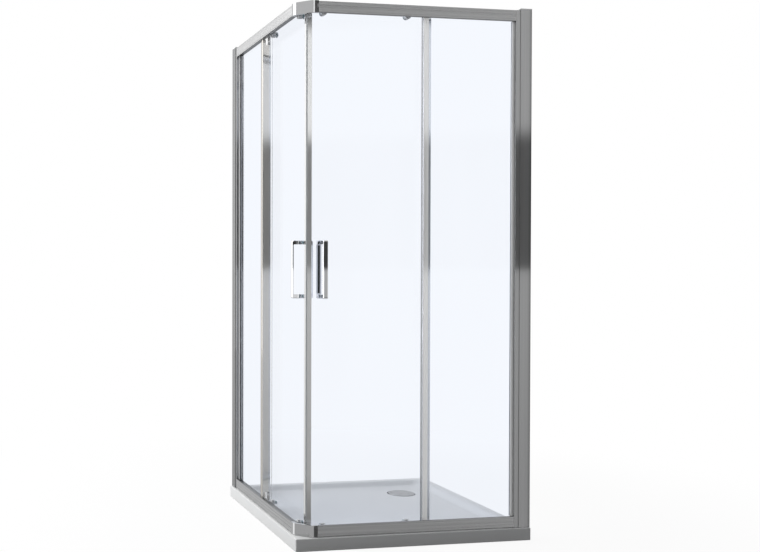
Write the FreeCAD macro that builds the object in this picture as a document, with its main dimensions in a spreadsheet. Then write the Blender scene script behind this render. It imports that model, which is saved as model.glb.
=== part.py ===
import FreeCAD, Part
import Sketcher
import os

# Corner-entry shower enclosure on a square tray, in mm.
# Origin: middle of the tray's underside. Z is up, the walls are at +X and +Y, the entry corner at -X -Y.
# The right panel runs along X and faces -Y. The left panel is its mirror image across the plane x = y.
# "q" is a depth measured inwards from the outer face of the rails.

SIZES = [
    ("tray_side", 900.0, "outer side of the square tray"),
    ("tray_height", 45.0, "underside to rim"),
    ("tray_corner_radius", 4.0, "upright corners of the tray"),
    ("tray_edge_radius", 2.5, "edge of the rim"),
    ("rim_entry", 72.0, "rim under the rails"),
    ("rim_wall", 28.0, "rim along the walls"),
    ("basin_depth", 17.0, "rim down to the edge of the floor"),
    ("basin_slope", 30.0, "run of the sloping basin side"),
    ("floor_fall", 4.0, "fall of the floor to the drain"),
    ("dish_side", 150.0, "flat square around the drain"),
    ("drain_from_wall", 190.0, "middle of the drain to each wall"),
    ("recess_play", 3.0, "recess around the drain cover, on the radius"),
    ("recess_depth", 9.0, "depth of that recess"),
    ("drain_ledge", 14.0, "ledge of the recess around the bore for the waste fitting"),
    ("cover_diameter", 112.0, "drain cover"),
    ("cover_thick", 3.0, "drain cover at its edge"),
    ("cover_crown", 2.5, "rise of the cover to its middle"),
    ("cover_lift", 7.0, "feet of the drain cover"),
    ("cover_boss", 24.0, "flat middle of the cover"),
    ("foot_diameter", 7.0, "one foot of the cover"),
    ("foot_in", 4.5, "middle of a foot from the edge of the cover"),
    ("foot_count", 4, "feet under the cover"),
    ("enclosure_height", 1900.0, "rim to the top of the wall profiles"),
    ("frame_inset", 11.0, "tray edge to the outer face of the rails"),
    ("rail_drop", 6.0, "rail tops below the wall profile tops"),
    ("rail_height", 40.0, "rail section, upright"),
    ("rail_depth", 44.0, "rail section, inwards"),
    ("rail_wall", 1.8, "wall of the rail section"),
    ("rail_edge_radius", 1.6, "outer edges of the rails"),
    ("rail_lip", 10.0, "lip on the inner side of the rail"),
    ("skin", 1.5, "skin of the corner connectors, and bed under the bottom rails"),
    ("glass_thick", 6.0, "toughened glass"),
    ("fixed_glass_q", 12.0, "outer face of the fixed glass"),
    ("gasket_thick", 1.5, "gasket on each side of the fixed glass"),
    ("glass_edge_room", 4.0, "glass edge to the floor of its slot"),
    ("web_raise", 6.0, "lower edge of the web beside the fixed glass"),
    ("track_raise", 8.0, "underside of the track flange"),
    ("track_end_q", 29.0, "free edge of the track flange"),
    ("bead_q", 25.75, "middle of the track bead"),
    ("bead_wide", 2.0, "track bead"),
    ("bead_tall", 2.8, "track bead above its flange"),
    ("bead_radius", 0.8, "rounded top of the bead"),
    ("wall_profile_wide", 45.0, "wall profile from the wall"),
    ("wall_profile_proud", 3.0, "wall profile outside the rail face"),
    ("wall_profile_deep", 36.0, "wall profile across its flanges"),
    ("wall_profile_thick", 2.0, "sheet of the wall profile"),
    ("wall_profile_radius", 1.2, "outer edges of the wall profile"),
    ("wall_hole", 6.0, "screw holes to the wall"),
    ("wall_hole_low", 150.0, "lowest wall hole above the rim"),
    ("wall_hole_high", 160.0, "highest wall hole below the top of the wall profile"),
    ("wall_hole_steps", 3, "spaces between the wall holes"),
    ("cap_thick", 2.5, "cap on the wall profile"),
    ("cap_plug", 5.0, "plug of the cap"),
    ("cap_plug_long", 10.0, "length of that plug"),
    ("slide_clearance", 0.4, "adjusting profile in the wall profile"),
    ("adjust_show", 17.0, "visible face of the adjusting profile"),
    ("adjust_wide", 48.0, "adjusting profile, whole width"),
    ("adjust_wall", 1.8, "wall of the adjusting profile"),
    ("slot_deep", 16.0, "slot for the fixed glass"),
    ("gasket_show", 10.0, "gasket outside the adjusting profile"),
    ("frame_screw", 4.0, "shank of the frame screws"),
    ("frame_screw_head", 7.5, "head of the frame screws"),
    ("frame_screw_head_tall", 2.4, "height of that head"),
    ("frame_screw_long", 9.0, "length under the head"),
    ("frame_screw_in", 14.0, "frame screws from the edge of the wall profile"),
    ("frame_screw_end", 300.0, "first and last frame screw from the ends of the wall profile"),
    ("frame_screw_steps", 2, "spaces between the frame screws"),
    ("screw_clearance", 0.2, "hole around the frame screws"),
    ("edge_profile_x", 33.0, "free edge of the fixed panel, from the middle of the tray"),
    ("edge_profile_wide", 21.0, "edge profile on the fixed glass"),
    ("edge_profile_side", 4.0, "its sides outside the glass"),
    ("edge_profile_radius", 3.5, "its rounded outer edges"),
    ("fin_from_edge", 7.0, "labyrinth fin on the edge profile"),
    ("fin_thick", 2.0, "labyrinth fins"),
    ("fin_long", 16.0, "labyrinth fins, inwards or outwards"),
    ("fin_end", 18.0, "fins stop short of the rails"),
    ("fin_gap", 3.0, "between the two fins with the door shut"),
    ("door_glass_q", 45.5, "outer face of the door glass"),
    ("door_overlap", 28.0, "door glass behind each rail"),
    ("door_profile_side", 2.5, "door profiles outside the glass"),
    ("trailing_wide", 33.0, "trailing profile"),
    ("trailing_bite", 18.0, "glass inside the trailing profile"),
    ("leading_end_x", 75.0, "inner end of the leading profile from the tray's corner"),
    ("leading_web", 2.0, "leading profile between glass and seal"),
    ("seal_wide", 4.0, "magnetic seal along the panel"),
    ("seal_gap", 0.5, "seal to the mitre plane, along the panel"),
    ("door_profile_radius", 1.0, "edges of the door profiles"),
    ("roller_lead_x", 115.0, "leading roller from the tray's corner"),
    ("roller_trail_in", 62.0, "trailing roller from the near edge of the trailing profile"),
    ("boss_diameter", 23.0, "roller carrier at the glass"),
    ("boss_raise", 9.5, "middle of the boss above the rail's lower edge"),
    ("boss_edge", 1.5, "rounded edge of bosses and caps"),
    ("carrier_gap", 0.8, "track flange to the carrier"),
    ("lug_diameter", 14.0, "carrier around the axle"),
    ("lug_thick", 7.0, "upper lug of the carrier"),
    ("stud_diameter", 10.0, "stud through the glass"),
    ("stud_bite", 8.0, "stud inside the carrier"),
    ("stud_short", 3.5, "stud inside the guide housing"),
    ("stud_clearance", 0.1, "around studs and bolts, on the radius"),
    ("glass_hole_room", 2.0, "glass hole around a stud, on the radius"),
    ("cap_tall", 4.5, "caps on the inner side of the glass"),
    ("low_cap", 16.0, "caps of the guide housings"),
    ("wheel_wide", 5.5, "wheels"),
    ("top_groove", 7.5, "running radius of the top wheels"),
    ("low_groove", 5.0, "running radius of the guide wheels"),
    ("flange_tall", 2.0, "wheel flanges above the groove"),
    ("groove_wide", 2.8, "groove at its floor"),
    ("groove_flare", 0.5, "flare of the groove on each side"),
    ("rolling_gap", 0.25, "wheel to bead"),
    ("axle", 5.0, "axles"),
    ("axle_clearance", 0.05, "wheel on its axle, on the radius"),
    ("axle_head", 8.0, "head of an axle"),
    ("axle_head_thick", 0.9, "thickness of that head"),
    ("wheel_play", 0.1, "wheel to axle head"),
    ("axle_bite", 6.0, "axle inside the carrier"),
    ("housing_wide", 26.0, "guide housing along the door"),
    ("housing_drop", 6.5, "housing top below the rail's edge"),
    ("housing_tall", 8.0, "guide housing"),
    ("guide_drop", 10.5, "middle of the guide stud below the rail's edge"),
    ("stem_wide", 10.0, "stem of the button"),
    ("stem_deep", 7.6, "stem of the button, inwards"),
    ("stem_q", 33.2, "outer face of the stem"),
    ("stem_clearance", 0.2, "stem in its housing"),
    ("button_wide", 18.0, "button head along the door"),
    ("button_deep", 11.6, "button head, inwards"),
    ("button_thick", 1.6, "button head"),
    ("spring_room", 4.6, "button head to housing"),
    ("foot_room", 0.5, "foot of the button to its housing"),
    ("foot_wide", 13.0, "foot of the button"),
    ("foot_tall", 8.0, "foot of the button"),
    ("spring_thick", 0.5, "spring strip"),
    ("spring_wide", 2.4, "spring strip, inwards"),
    ("spring_span", 16.0, "spring between its feet"),
    ("spring_toe", 2.0, "flat toes of the spring"),
    ("spring_side", 0.4, "stem to spring"),
    ("handle_x", 116.0, "middle of the handle from the tray's corner"),
    ("handle_wide", 18.5, "handle strap"),
    ("handle_thick", 5.0, "grip of the handle"),
    ("handle_reach", 36.5, "glass to the far face of the grip"),
    ("handle_low", 844.0, "lower end of the handle above the rim"),
    ("handle_tall", 210.0, "handle"),
    ("handle_post", 15.0, "posts of the handle"),
    ("handle_outer_radius", 6.0, "outer corners of the bow"),
    ("handle_inner_radius", 3.0, "inner corners of the bow"),
    ("handle_edge", 3.0, "long edges of the grip"),
    ("bolt", 6.0, "handle bolts"),
    ("bolt_bite", 9.0, "handle bolt inside each post"),
    ("connector_leg", 50.0, "corner connector: facet along each side"),
    ("connector_wing", 73.0, "corner connector along each rail"),
    ("connector_facet_thick", 4.0, "skin of the facet"),
    ("connector_radius", 22.0, "rounded bends of the connector"),
    ("connector_lip", 10.5, "lip at the open side of the connector"),
    ("rail_gap", 1.5, "facet of the corner connector to the end of a rail"),
    ("tongue_long", 40.0, "connector tongue inside the rail"),
    ("tongue_clearance", 0.3, "tongue in the rail"),
    ("sill_inset", 4.0, "sill seal from both faces of the rail"),
    ("sill_gap", 0.5, "sill seal to its neighbours"),
    ("stop_long", 10.0, "door stops"),
    ("stop_gap", 1.0, "wheel to door stop"),
    ("stop_tall", 15.0, "door stops above the track"),
    ("stop_room", 0.3, "door stop around the bead"),
    ("door_travel", 300.0, "travel of each door"),
]

doc = FreeCAD.newDocument("shower_enclosure")
sheet = doc.addObject("Spreadsheet::Sheet", "sizes")


class Size:
    """A value together with the sheet expression that drives it."""

    def __init__(self, value, text):
        self.value = value
        self.text = text

    def __add__(self, other):
        other = plain(other)
        return Size(self.value + other.value, "(%s + %s)" % (self.text, other.text))

    def __sub__(self, other):
        other = plain(other)
        return Size(self.value - other.value, "(%s - %s)" % (self.text, other.text))

    def __mul__(self, other):
        other = plain(other)
        return Size(self.value * other.value, "(%s * %s)" % (self.text, other.text))

    def __truediv__(self, other):
        other = plain(other)
        return Size(self.value / other.value, "(%s / %s)" % (self.text, other.text))

    def __neg__(self):
        return Size(-self.value, "(-%s)" % self.text)


def plain(value):
    if isinstance(value, Size):
        return value
    return Size(float(value), "(%s)" % value)


class Sheet:
    """The sizes by name."""


S = Sheet()
for row, (name, value, note) in enumerate(SIZES, 1):
    sheet.set("A%d" % row, name)
    sheet.set("B%d" % row, str(value))
    sheet.setAlias("B%d" % row, name)
    sheet.set("C%d" % row, note)
    setattr(S, name, Size(float(value), "sizes." + name))
doc.recompute()

ZERO = plain(0)
VECTOR = FreeCAD.Vector
NEAR_SHARE = 1e-6
TOLERANCE = S.tray_side.value * NEAR_SHARE
NODES = []


def new_body(label):
    body = doc.addObject("PartDesign::Body", label)
    body.Label = label
    return body


def place(body, x, y, z):
    for axis, size in (("x", x), ("y", y), ("z", z)):
        body.setExpression("Placement.Base." + axis, size.text)


def sketch_on(body, plane, level):
    """A sketch on one of the body's own planes, moved along X, Y or Z to the level."""
    roles = {"XY": "XY_Plane", "XZ": "XZ_Plane", "YZ": "YZ_Plane"}
    support = [item for item in body.Origin.OriginFeatures if item.Role == roles[plane]]
    sketch = body.newObject("Sketcher::SketchObject", body.Label + "_sketch")
    sketch.AttachmentSupport = (support[0], [""])
    sketch.MapMode = "FlatFace"
    offset = -level if plane == "XZ" else level
    sketch.setExpression("AttachmentOffset.Base.z", offset.text)
    return sketch


def draw_polygon(sketch, points):
    points = [(plain(x), plain(y)) for x, y in points]
    first = sketch.GeometryCount
    count = len(points)
    corners = [VECTOR(x.value, y.value, 0) for x, y in points]
    lines = [Part.LineSegment(corners[i], corners[(i + 1) % count]) for i in range(count)]
    sketch.addGeometry(lines, False)
    for i in range(count):
        after = first + (i + 1) % count
        sketch.addConstraint(Sketcher.Constraint("Coincident", first + i, 2, after, 1))
    for i, (x, y) in enumerate(points):
        for kind, size in (("DistanceX", x), ("DistanceY", y)):
            tie = Sketcher.Constraint(kind, -1, 1, first + i, 1, size.value)
            number = sketch.addConstraint(tie)
            sketch.setExpression("Constraints[%d]" % number, size.text)


def draw_circle(sketch, centre, diameter):
    x, y = (plain(item) for item in centre)
    middle = VECTOR(x.value, y.value, 0)
    number = sketch.addGeometry(Part.Circle(middle, VECTOR(0, 0, 1), diameter.value / 2), False)
    ties = [
        (Sketcher.Constraint("DistanceX", -1, 1, number, 3, x.value), x),
        (Sketcher.Constraint("DistanceY", -1, 1, number, 3, y.value), y),
        (Sketcher.Constraint("Diameter", number, diameter.value), diameter),
    ]
    for tie, size in ties:
        sketch.setExpression("Constraints[%d]" % sketch.addConstraint(tie), size.text)


def draw(sketch, loops):
    for loop in loops:
        if loop[0] == "circle":
            draw_circle(sketch, loop[1], loop[2])
        else:
            draw_polygon(sketch, loop)


def pad(body, plane, low, high, *loops):
    """Material between two levels."""
    low, high = plain(low), plain(high)
    sketch = sketch_on(body, plane, high if plane == "XZ" else low)
    draw(sketch, loops)
    feature = body.newObject("PartDesign::Pad", body.Label + "_pad")
    feature.Profile = sketch
    feature.setExpression("Length", (high - low).text)
    doc.recompute()
    return feature


def cut(body, plane, low, high, *loops):
    """Material taken away between two levels."""
    low, high = plain(low), plain(high)
    before = body.Tip.Shape.Volume
    sketch = sketch_on(body, plane, low if plane == "XZ" else high)
    draw(sketch, loops)
    feature = body.newObject("PartDesign::Pocket", body.Label + "_cut")
    feature.Profile = sketch
    feature.setExpression("Length", (high - low).text)
    doc.recompute()
    if feature.Shape.Volume > before * (1 - NEAR_SHARE * NEAR_SHARE):
        raise ValueError("nothing was cut from " + body.Label)
    return feature


def rectangle(x_low, x_high, y_low, y_high):
    return [(x_low, y_low), (x_high, y_low), (x_high, y_high), (x_low, y_high)]


def edges_at(feature, **where):
    """Names of the edges that lie at the given coordinates."""
    names = []
    for number, edge in enumerate(feature.Shape.Edges, 1):
        box = edge.BoundBox
        spans = {"x": (box.XMin, box.XMax), "y": (box.YMin, box.YMax), "z": (box.ZMin, box.ZMax)}
        wanted = {axis: plain(size).value for axis, size in where.items()}
        if all(abs(end - wanted[axis]) < TOLERANCE for axis in wanted for end in spans[axis]):
            names.append("Edge%d" % number)
    return names


def rounded(body, radius, *places):
    """Rounds the edges found at each of the places."""
    base = body.Tip
    names = sorted({name for where in places for name in edges_at(base, **where)})
    feature = body.newObject("PartDesign::Fillet", body.Label + "_round")
    feature.Base = (base, names)
    feature.setExpression("Radius", radius.text)
    doc.recompute()
    return feature


def turned(body, points):
    """A solid turned about the body's own Y axis from (radius, y) points."""
    sketch = sketch_on(body, "XY", ZERO)
    draw_polygon(sketch, points)
    feature = body.newObject("PartDesign::Revolution", body.Label + "_turned")
    feature.Profile = sketch
    feature.ReferenceAxis = (sketch, ["V_Axis"])
    doc.recompute()
    return feature


def group(label, *members):
    compound = doc.addObject("Part::Compound", label)
    compound.Label = label
    compound.Links = list(members)
    doc.recompute()
    return compound


def mirror_image(source, label):
    """The same piece on the other side of the plane x = y."""
    image = doc.addObject("Part::Mirroring", label)
    image.Label = label
    image.Source = source
    image.Normal = VECTOR(1, -1, 0)
    doc.recompute()
    return image


def keep(*items):
    NODES.extend(items)


def keep_pair(item):
    """Keeps a right-hand piece and its left-hand twin."""
    keep(item, mirror_image(item, item.Label.replace("right_", "left_")))


half = S.tray_side / 2
corner = -half
wall = half
face = corner + S.frame_inset
rim = S.tray_height
wall_top = rim + S.enclosure_height
rail_top = wall_top - S.rail_drop
rail_low = rail_top - S.rail_height
sill = rim + S.skin
sill_top = sill + S.rail_height


def q(depth):
    """World Y of a depth behind the rail's outer face."""
    return face + depth


def up(height):
    """World Z of a height above the lower edge of the top rail."""
    return rail_low + height


def down(drop):
    """World Z of a drop below the upper edge of the bottom rail."""
    return sill_top - drop


# Tray: slab, basin with sloping sides, floor falling to the drain.
tray = new_body("shower_tray")
pad(tray, "XY", ZERO, rim, rectangle(corner, half, corner, half))
floor_edge = rim - S.basin_depth
floor_low = floor_edge - S.floor_fall
mouth = (corner + S.rim_entry, half - S.rim_wall)
foot = (mouth[0] + S.basin_slope, mouth[1] - S.basin_slope)
drain = half - S.drain_from_wall
dish = (drain - S.dish_side / 2, drain + S.dish_side / 2)


def sink(body, top, top_span, low, low_span):
    upper = sketch_on(body, "XY", top)
    draw_polygon(upper, rectangle(top_span[0], top_span[1], top_span[0], top_span[1]))
    lower = sketch_on(body, "XY", low)
    draw_polygon(lower, rectangle(low_span[0], low_span[1], low_span[0], low_span[1]))
    feature = body.newObject("PartDesign::SubtractiveLoft", body.Label + "_sink")
    feature.Profile = upper
    feature.Sections = [lower]
    feature.Ruled = True
    doc.recompute()


sink(tray, rim, mouth, floor_edge, foot)
sink(tray, floor_edge, foot, floor_low, dish)
recess_floor = floor_low - S.recess_depth
recess_diameter = S.cover_diameter + S.recess_play * 2
drain_diameter = recess_diameter - S.drain_ledge * 2
cut(tray, "XY", recess_floor, floor_low, ("circle", (drain, drain), recess_diameter))
cut(tray, "XY", ZERO, recess_floor, ("circle", (drain, drain), drain_diameter))
upright = [{"x": x, "y": y} for x in (corner, half) for y in (corner, half)]
rounded(tray, S.tray_corner_radius, *upright)
rounded(tray, S.tray_edge_radius, {"z": rim})
keep(tray)

# Drain cover: shallow dome on four feet, loose in its recess.
cover = new_body("drain_cover")
place(cover, drain, drain, recess_floor)
plate_low = S.cover_lift
plate_high = S.cover_lift + S.cover_thick
crown = plate_high + S.cover_crown
section = sketch_on(cover, "XZ", ZERO)
draw_polygon(
    section,
    [
        (ZERO, plate_low),
        (S.cover_diameter / 2, plate_low),
        (S.cover_diameter / 2, plate_high),
        (S.cover_boss / 2, crown),
        (ZERO, crown),
    ],
)
dome = cover.newObject("PartDesign::Revolution", "cover_dome")
dome.Profile = section
dome.ReferenceAxis = (section, ["V_Axis"])
doc.recompute()
foot_x = S.cover_diameter / 2 - S.foot_in
one_foot = pad(cover, "XY", ZERO, plate_low, ("circle", (foot_x, ZERO), S.foot_diameter))
ring = cover.newObject("PartDesign::PolarPattern", "cover_feet")
ring.Originals = [one_foot]
ring.Axis = (one_foot.Profile[0], ["N_Axis"])
ring.setExpression("Occurrences", S.foot_count.text)
cover.Tip = ring
doc.recompute()
keep(cover)

# Wall profile: channel against the wall, open towards the panel, with screw holes in its back.
profile_x = wall - S.wall_profile_wide
profile_out = q(-S.wall_profile_proud)
profile_in = profile_out + S.wall_profile_deep
sheet_thick = S.wall_profile_thick
wall_profile = new_body("right_wall_profile")
channel = [
    (profile_x, profile_out),
    (wall, profile_out),
    (wall, profile_in),
    (profile_x, profile_in),
    (profile_x, profile_in - sheet_thick),
    (wall - sheet_thick, profile_in - sheet_thick),
    (wall - sheet_thick, profile_out + sheet_thick),
    (profile_x, profile_out + sheet_thick),
]
pad(wall_profile, "XY", rim, wall_top - S.cap_thick, channel)
rounded(
    wall_profile,
    S.wall_profile_radius,
    {"x": profile_x, "y": profile_out},
    {"x": profile_x, "y": profile_in},
    {"x": wall, "y": profile_out},
    {"x": wall, "y": profile_in},
)
profile_mid = (profile_out + profile_in) / 2
hole_pitch = (S.enclosure_height - S.wall_hole_low - S.wall_hole_high) / S.wall_hole_steps
hole_count = int(S.wall_hole_steps.value) + 1
hole_z = [rim + S.wall_hole_low + hole_pitch * step for step in range(hole_count)]
wall_holes = [("circle", (profile_mid, z), S.wall_hole) for z in hole_z]
cut(wall_profile, "YZ", wall - sheet_thick, wall, *wall_holes)
screw_x = profile_x + S.frame_screw_in
screw_pitch = (S.enclosure_height - S.frame_screw_end * 2) / S.frame_screw_steps
screw_count = int(S.frame_screw_steps.value) + 1
screw_z = [rim + S.frame_screw_end + screw_pitch * step for step in range(screw_count)]
screw_hole = S.frame_screw + S.screw_clearance * 2
screw_holes = [("circle", (screw_x, z), screw_hole) for z in screw_z]
cut(wall_profile, "XZ", profile_in - sheet_thick, profile_in, *screw_holes)
keep_pair(wall_profile)

wall_cap = new_body("right_wall_cap")
pad(wall_cap, "XY", wall_top - S.cap_thick, wall_top, rectangle(profile_x, wall, profile_out, profile_in))
plug_x = wall - sheet_thick - S.slide_clearance
pad(
    wall_cap,
    "XY",
    wall_top - S.cap_thick - S.cap_plug,
    wall_top - S.cap_thick,
    rectangle(
        plug_x - S.cap_plug_long,
        plug_x,
        profile_out + sheet_thick + S.slide_clearance,
        profile_in - sheet_thick - S.slide_clearance,
    ),
)
rounded(
    wall_cap,
    S.wall_profile_radius,
    {"x": profile_x, "y": profile_out},
    {"x": profile_x, "y": profile_in},
    {"x": wall, "y": profile_out},
    {"x": wall, "y": profile_in},
)
keep_pair(wall_cap)

# Adjusting profile: hollow section that slides in the wall profile and holds the fixed glass.
adjust_x = profile_x - S.adjust_show
adjust_end = adjust_x + S.adjust_wide
adjust_out = profile_out + sheet_thick + S.slide_clearance
adjust_in = profile_in - sheet_thick - S.slide_clearance
slot_out = q(S.fixed_glass_q - S.gasket_thick)
slot_in = q(S.fixed_glass_q + S.glass_thick + S.gasket_thick)
slot_x = adjust_x + S.slot_deep
thin = S.adjust_wall
adjusting = new_body("right_adjusting_profile")
pad(
    adjusting,
    "XY",
    rim,
    rail_top,
    [
        (adjust_x, adjust_out),
        (adjust_end, adjust_out),
        (adjust_end, adjust_in),
        (adjust_x, adjust_in),
        (adjust_x, slot_in),
        (slot_x, slot_in),
        (slot_x, slot_out),
        (adjust_x, slot_out),
    ],
    rectangle(slot_x + thin, adjust_end - thin, adjust_out + thin, adjust_in - thin),
    rectangle(adjust_x + thin, slot_x, adjust_out + thin, slot_out - thin),
    rectangle(adjust_x + thin, slot_x, slot_in + thin, adjust_in - thin),
)
rounded(
    adjusting,
    S.wall_profile_radius,
    {"x": adjust_x, "y": adjust_out},
    {"x": adjust_x, "y": adjust_in},
)
cut(adjusting, "XZ", adjust_in - thin, adjust_in, *screw_holes)
keep_pair(adjusting)

# Rails: one extruded section with a box, a slot for the fixed glass and a track with a bead.
inner_facet = face + S.connector_leg + S.connector_facet_thick
rail_end = inner_facet + S.rail_gap
rail_x = (rail_end, adjust_x)


def rail(label, level):
    """A rail along X. The level turns a height above the open edge into world Z."""
    body = new_body(label)
    w = S.rail_wall
    ceiling = S.rail_height - w
    box_q = S.fixed_glass_q - S.gasket_thick
    web_q = S.fixed_glass_q + S.glass_thick + S.gasket_thick
    track = S.track_raise + w
    bead_low = S.bead_q - S.bead_wide / 2
    bead_high = S.bead_q + S.bead_wide / 2
    bead_top = track + S.bead_tall
    outline = [
        (ZERO, ZERO),
        (ZERO, S.rail_height),
        (S.rail_depth, S.rail_height),
        (S.rail_depth, S.rail_height - S.rail_lip),
        (S.rail_depth - w, S.rail_height - S.rail_lip),
        (S.rail_depth - w, ceiling),
        (web_q + w, ceiling),
        (web_q + w, track),
        (bead_low, track),
        (bead_low, bead_top),
        (bead_high, bead_top),
        (bead_high, track),
        (S.track_end_q, track),
        (S.track_end_q, S.track_raise),
        (web_q + w, S.track_raise),
        (web_q + w, S.web_raise),
        (web_q, S.web_raise),
        (web_q, ceiling),
        (box_q, ceiling),
        (box_q, ZERO),
    ]
    chamber = rectangle(w, box_q - w, w, ceiling)
    loops = [[(q(depth), level(height)) for depth, height in loop] for loop in (outline, chamber)]
    pad(body, "YZ", rail_x[0], rail_x[1], *loops)
    rounded(
        body,
        S.rail_edge_radius,
        {"y": q(ZERO), "z": level(ZERO)},
        {"y": q(ZERO), "z": level(S.rail_height)},
        {"y": q(S.rail_depth), "z": level(S.rail_height)},
    )
    rounded(
        body,
        S.bead_radius,
        {"y": q(bead_low), "z": level(bead_top)},
        {"y": q(bead_high), "z": level(bead_top)},
    )
    return body


keep_pair(rail("right_top_rail", up))
keep_pair(rail("right_bottom_rail", down))

# Fixed glass, its gasket and the profile on its free edge.
edge_x = S.edge_profile_x
edge_end = edge_x + S.edge_profile_wide
glass_x = edge_x + S.edge_profile_side
fixed_out = q(S.fixed_glass_q)
fixed_in = fixed_out + S.glass_thick
slot_floor = S.rail_height - S.rail_wall - S.glass_edge_room
fixed_glass = new_body("right_fixed_glass")
fixed_end = slot_x - S.gasket_thick
pad(
    fixed_glass,
    "XZ",
    fixed_out,
    fixed_in,
    rectangle(glass_x, fixed_end, down(slot_floor), up(slot_floor)),
)
keep_pair(fixed_glass)

gasket = new_body("right_glazing_gasket")
gasket_x = adjust_x - S.gasket_show
pad(
    gasket,
    "XY",
    sill_top,
    rail_low,
    [
        (gasket_x, slot_out),
        (slot_x, slot_out),
        (slot_x, slot_in),
        (gasket_x, slot_in),
        (gasket_x, fixed_in),
        (fixed_end, fixed_in),
        (fixed_end, fixed_out),
        (gasket_x, fixed_out),
    ],
)
keep_pair(gasket)

edge_profile = new_body("right_fixed_edge_profile")
edge_out = fixed_out - S.edge_profile_side
edge_in = fixed_in + S.edge_profile_side
fin_x = edge_x + S.fin_from_edge
pad(
    edge_profile,
    "XY",
    sill_top,
    rail_low,
    [
        (edge_x, edge_out),
        (edge_end, edge_out),
        (edge_end, fixed_out),
        (glass_x, fixed_out),
        (glass_x, fixed_in),
        (edge_end, fixed_in),
        (edge_end, edge_in),
        (edge_x, edge_in),
    ],
)
pad(
    edge_profile,
    "XY",
    sill_top + S.fin_end,
    rail_low - S.fin_end,
    rectangle(fin_x, fin_x + S.fin_thick, edge_in, edge_in + S.fin_long),
)
rounded(
    edge_profile,
    S.edge_profile_radius,
    {"x": edge_x, "y": edge_out},
    {"x": edge_end, "y": edge_out},
)
keep_pair(edge_profile)

# Sill seals between the tray and the bottom rails.
wing_x = face + S.connector_wing
seal_strip = new_body("right_sill_seal")
pad(
    seal_strip,
    "XY",
    rim,
    sill,
    rectangle(
        wing_x + S.sill_gap,
        adjust_x - S.sill_gap,
        q(S.sill_inset),
        q(S.rail_depth - S.sill_inset),
    ),
)
keep(group("sill_seals", seal_strip, mirror_image(seal_strip, "left_sill_seal")))

# Screws that fix each adjusting profile in its wall profile, from the inside.
screws = []
for number, z in enumerate(screw_z):
    screw = new_body("right_frame_screw_%d" % number)
    place(screw, screw_x, profile_in, z)
    turned(
        screw,
        [
            (ZERO, -S.frame_screw_long),
            (S.frame_screw / 2, -S.frame_screw_long),
            (S.frame_screw / 2, ZERO),
            (S.frame_screw_head / 2, ZERO),
            (S.frame_screw_head / 2, S.frame_screw_head_tall / 2),
            (S.frame_screw / 2, S.frame_screw_head_tall),
            (ZERO, S.frame_screw_head_tall),
        ],
    )
    screws.append(screw)
right_screws = group("right_frame_screws", *screws)
keep(group("frame_screws", right_screws, mirror_image(right_screws, "left_frame_screws")))


# Corner connectors: faceted shells over the rail ends, with tongues in the rails' box chambers.
def connector(label, level):
    """The level turns a height above the open edge of the rails into world Z."""
    body = new_body(label)
    skin = S.skin
    wing = face + S.connector_wing
    outside = face - skin
    inside = face + S.rail_depth
    facet = face + S.connector_leg
    low, high = -skin, S.rail_height + skin

    def between(one, other):
        ends = [level(one), level(other)]
        return ends if ends[0].value < ends[1].value else ends[::-1]

    pad(
        body,
        "XY",
        *between(low, high),
        [
            (wing, outside),
            (wing, inside),
            (inside, inside),
            (inside, wing),
            (outside, wing),
            (outside, facet),
            (facet, outside),
        ],
    )
    rounded(body, S.connector_radius, {"x": outside, "y": facet}, {"x": facet, "y": outside})
    cut(
        body,
        "XY",
        *between(ZERO, S.rail_height),
        [
            (wing, face),
            (wing, inside),
            (inside, inside),
            (inside, wing),
            (face, wing),
            (face, inner_facet),
            (inner_facet, face),
        ],
    )
    lip = S.connector_lip
    cut(
        body,
        "XY",
        *between(low, ZERO),
        [
            (wing, face + lip),
            (wing, inside),
            (inside, inside),
            (inside, wing),
            (face + lip, wing),
            (face + lip, inner_facet),
            (inner_facet, face + lip),
        ],
    )
    gap = S.rail_wall + S.tongue_clearance
    box_q = S.fixed_glass_q - S.gasket_thick
    root_start = inner_facet - skin
    tall = between(gap, S.rail_height - gap)
    root = rectangle(face, q(box_q - gap), *tall)
    tongue = rectangle(q(gap), q(box_q - gap), *tall)
    for plane in ("YZ", "XZ"):
        pad(body, plane, root_start, rail_end - S.tongue_clearance, root)
        pad(body, plane, root_start, rail_end + S.tongue_long, tongue)
    return body


keep(connector("corner_connector_top", up))
keep(connector("corner_connector_bottom", down))

# Rollers. Every carrier, guide and wheel is built once per place along the door.
trail_x = fin_x + S.fin_thick + S.fin_gap
roller_x = (corner + S.roller_lead_x, trail_x - S.roller_trail_in)
places = ("lead", "trail")
track = S.track_raise + S.rail_wall
bead_top = track + S.bead_tall
top_axle = bead_top + S.rolling_gap + S.top_groove
low_axle = bead_top + S.rolling_gap + S.low_groove
wheel_q = S.bead_q - S.wheel_wide / 2
door_out = q(S.door_glass_q)
door_in = door_out + S.glass_thick
carrier_q = S.track_end_q + S.carrier_gap
boss_z = up(S.boss_raise)
guide_z = down(S.guide_drop)
bore = S.stud_diameter + S.stud_clearance * 2


def wheel(label, x, z, groove):
    body = new_body(label)
    place(body, x, q(S.bead_q), z)
    side = S.wheel_wide / 2
    floor = S.groove_wide / 2
    flange = groove + S.flange_tall
    hole = S.axle / 2 + S.axle_clearance
    turned(
        body,
        [
            (hole, -side),
            (flange, -side),
            (flange, -floor - S.groove_flare),
            (groove, -floor),
            (groove, floor),
            (flange, floor + S.groove_flare),
            (flange, side),
            (hole, side),
        ],
    )
    return body


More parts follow.
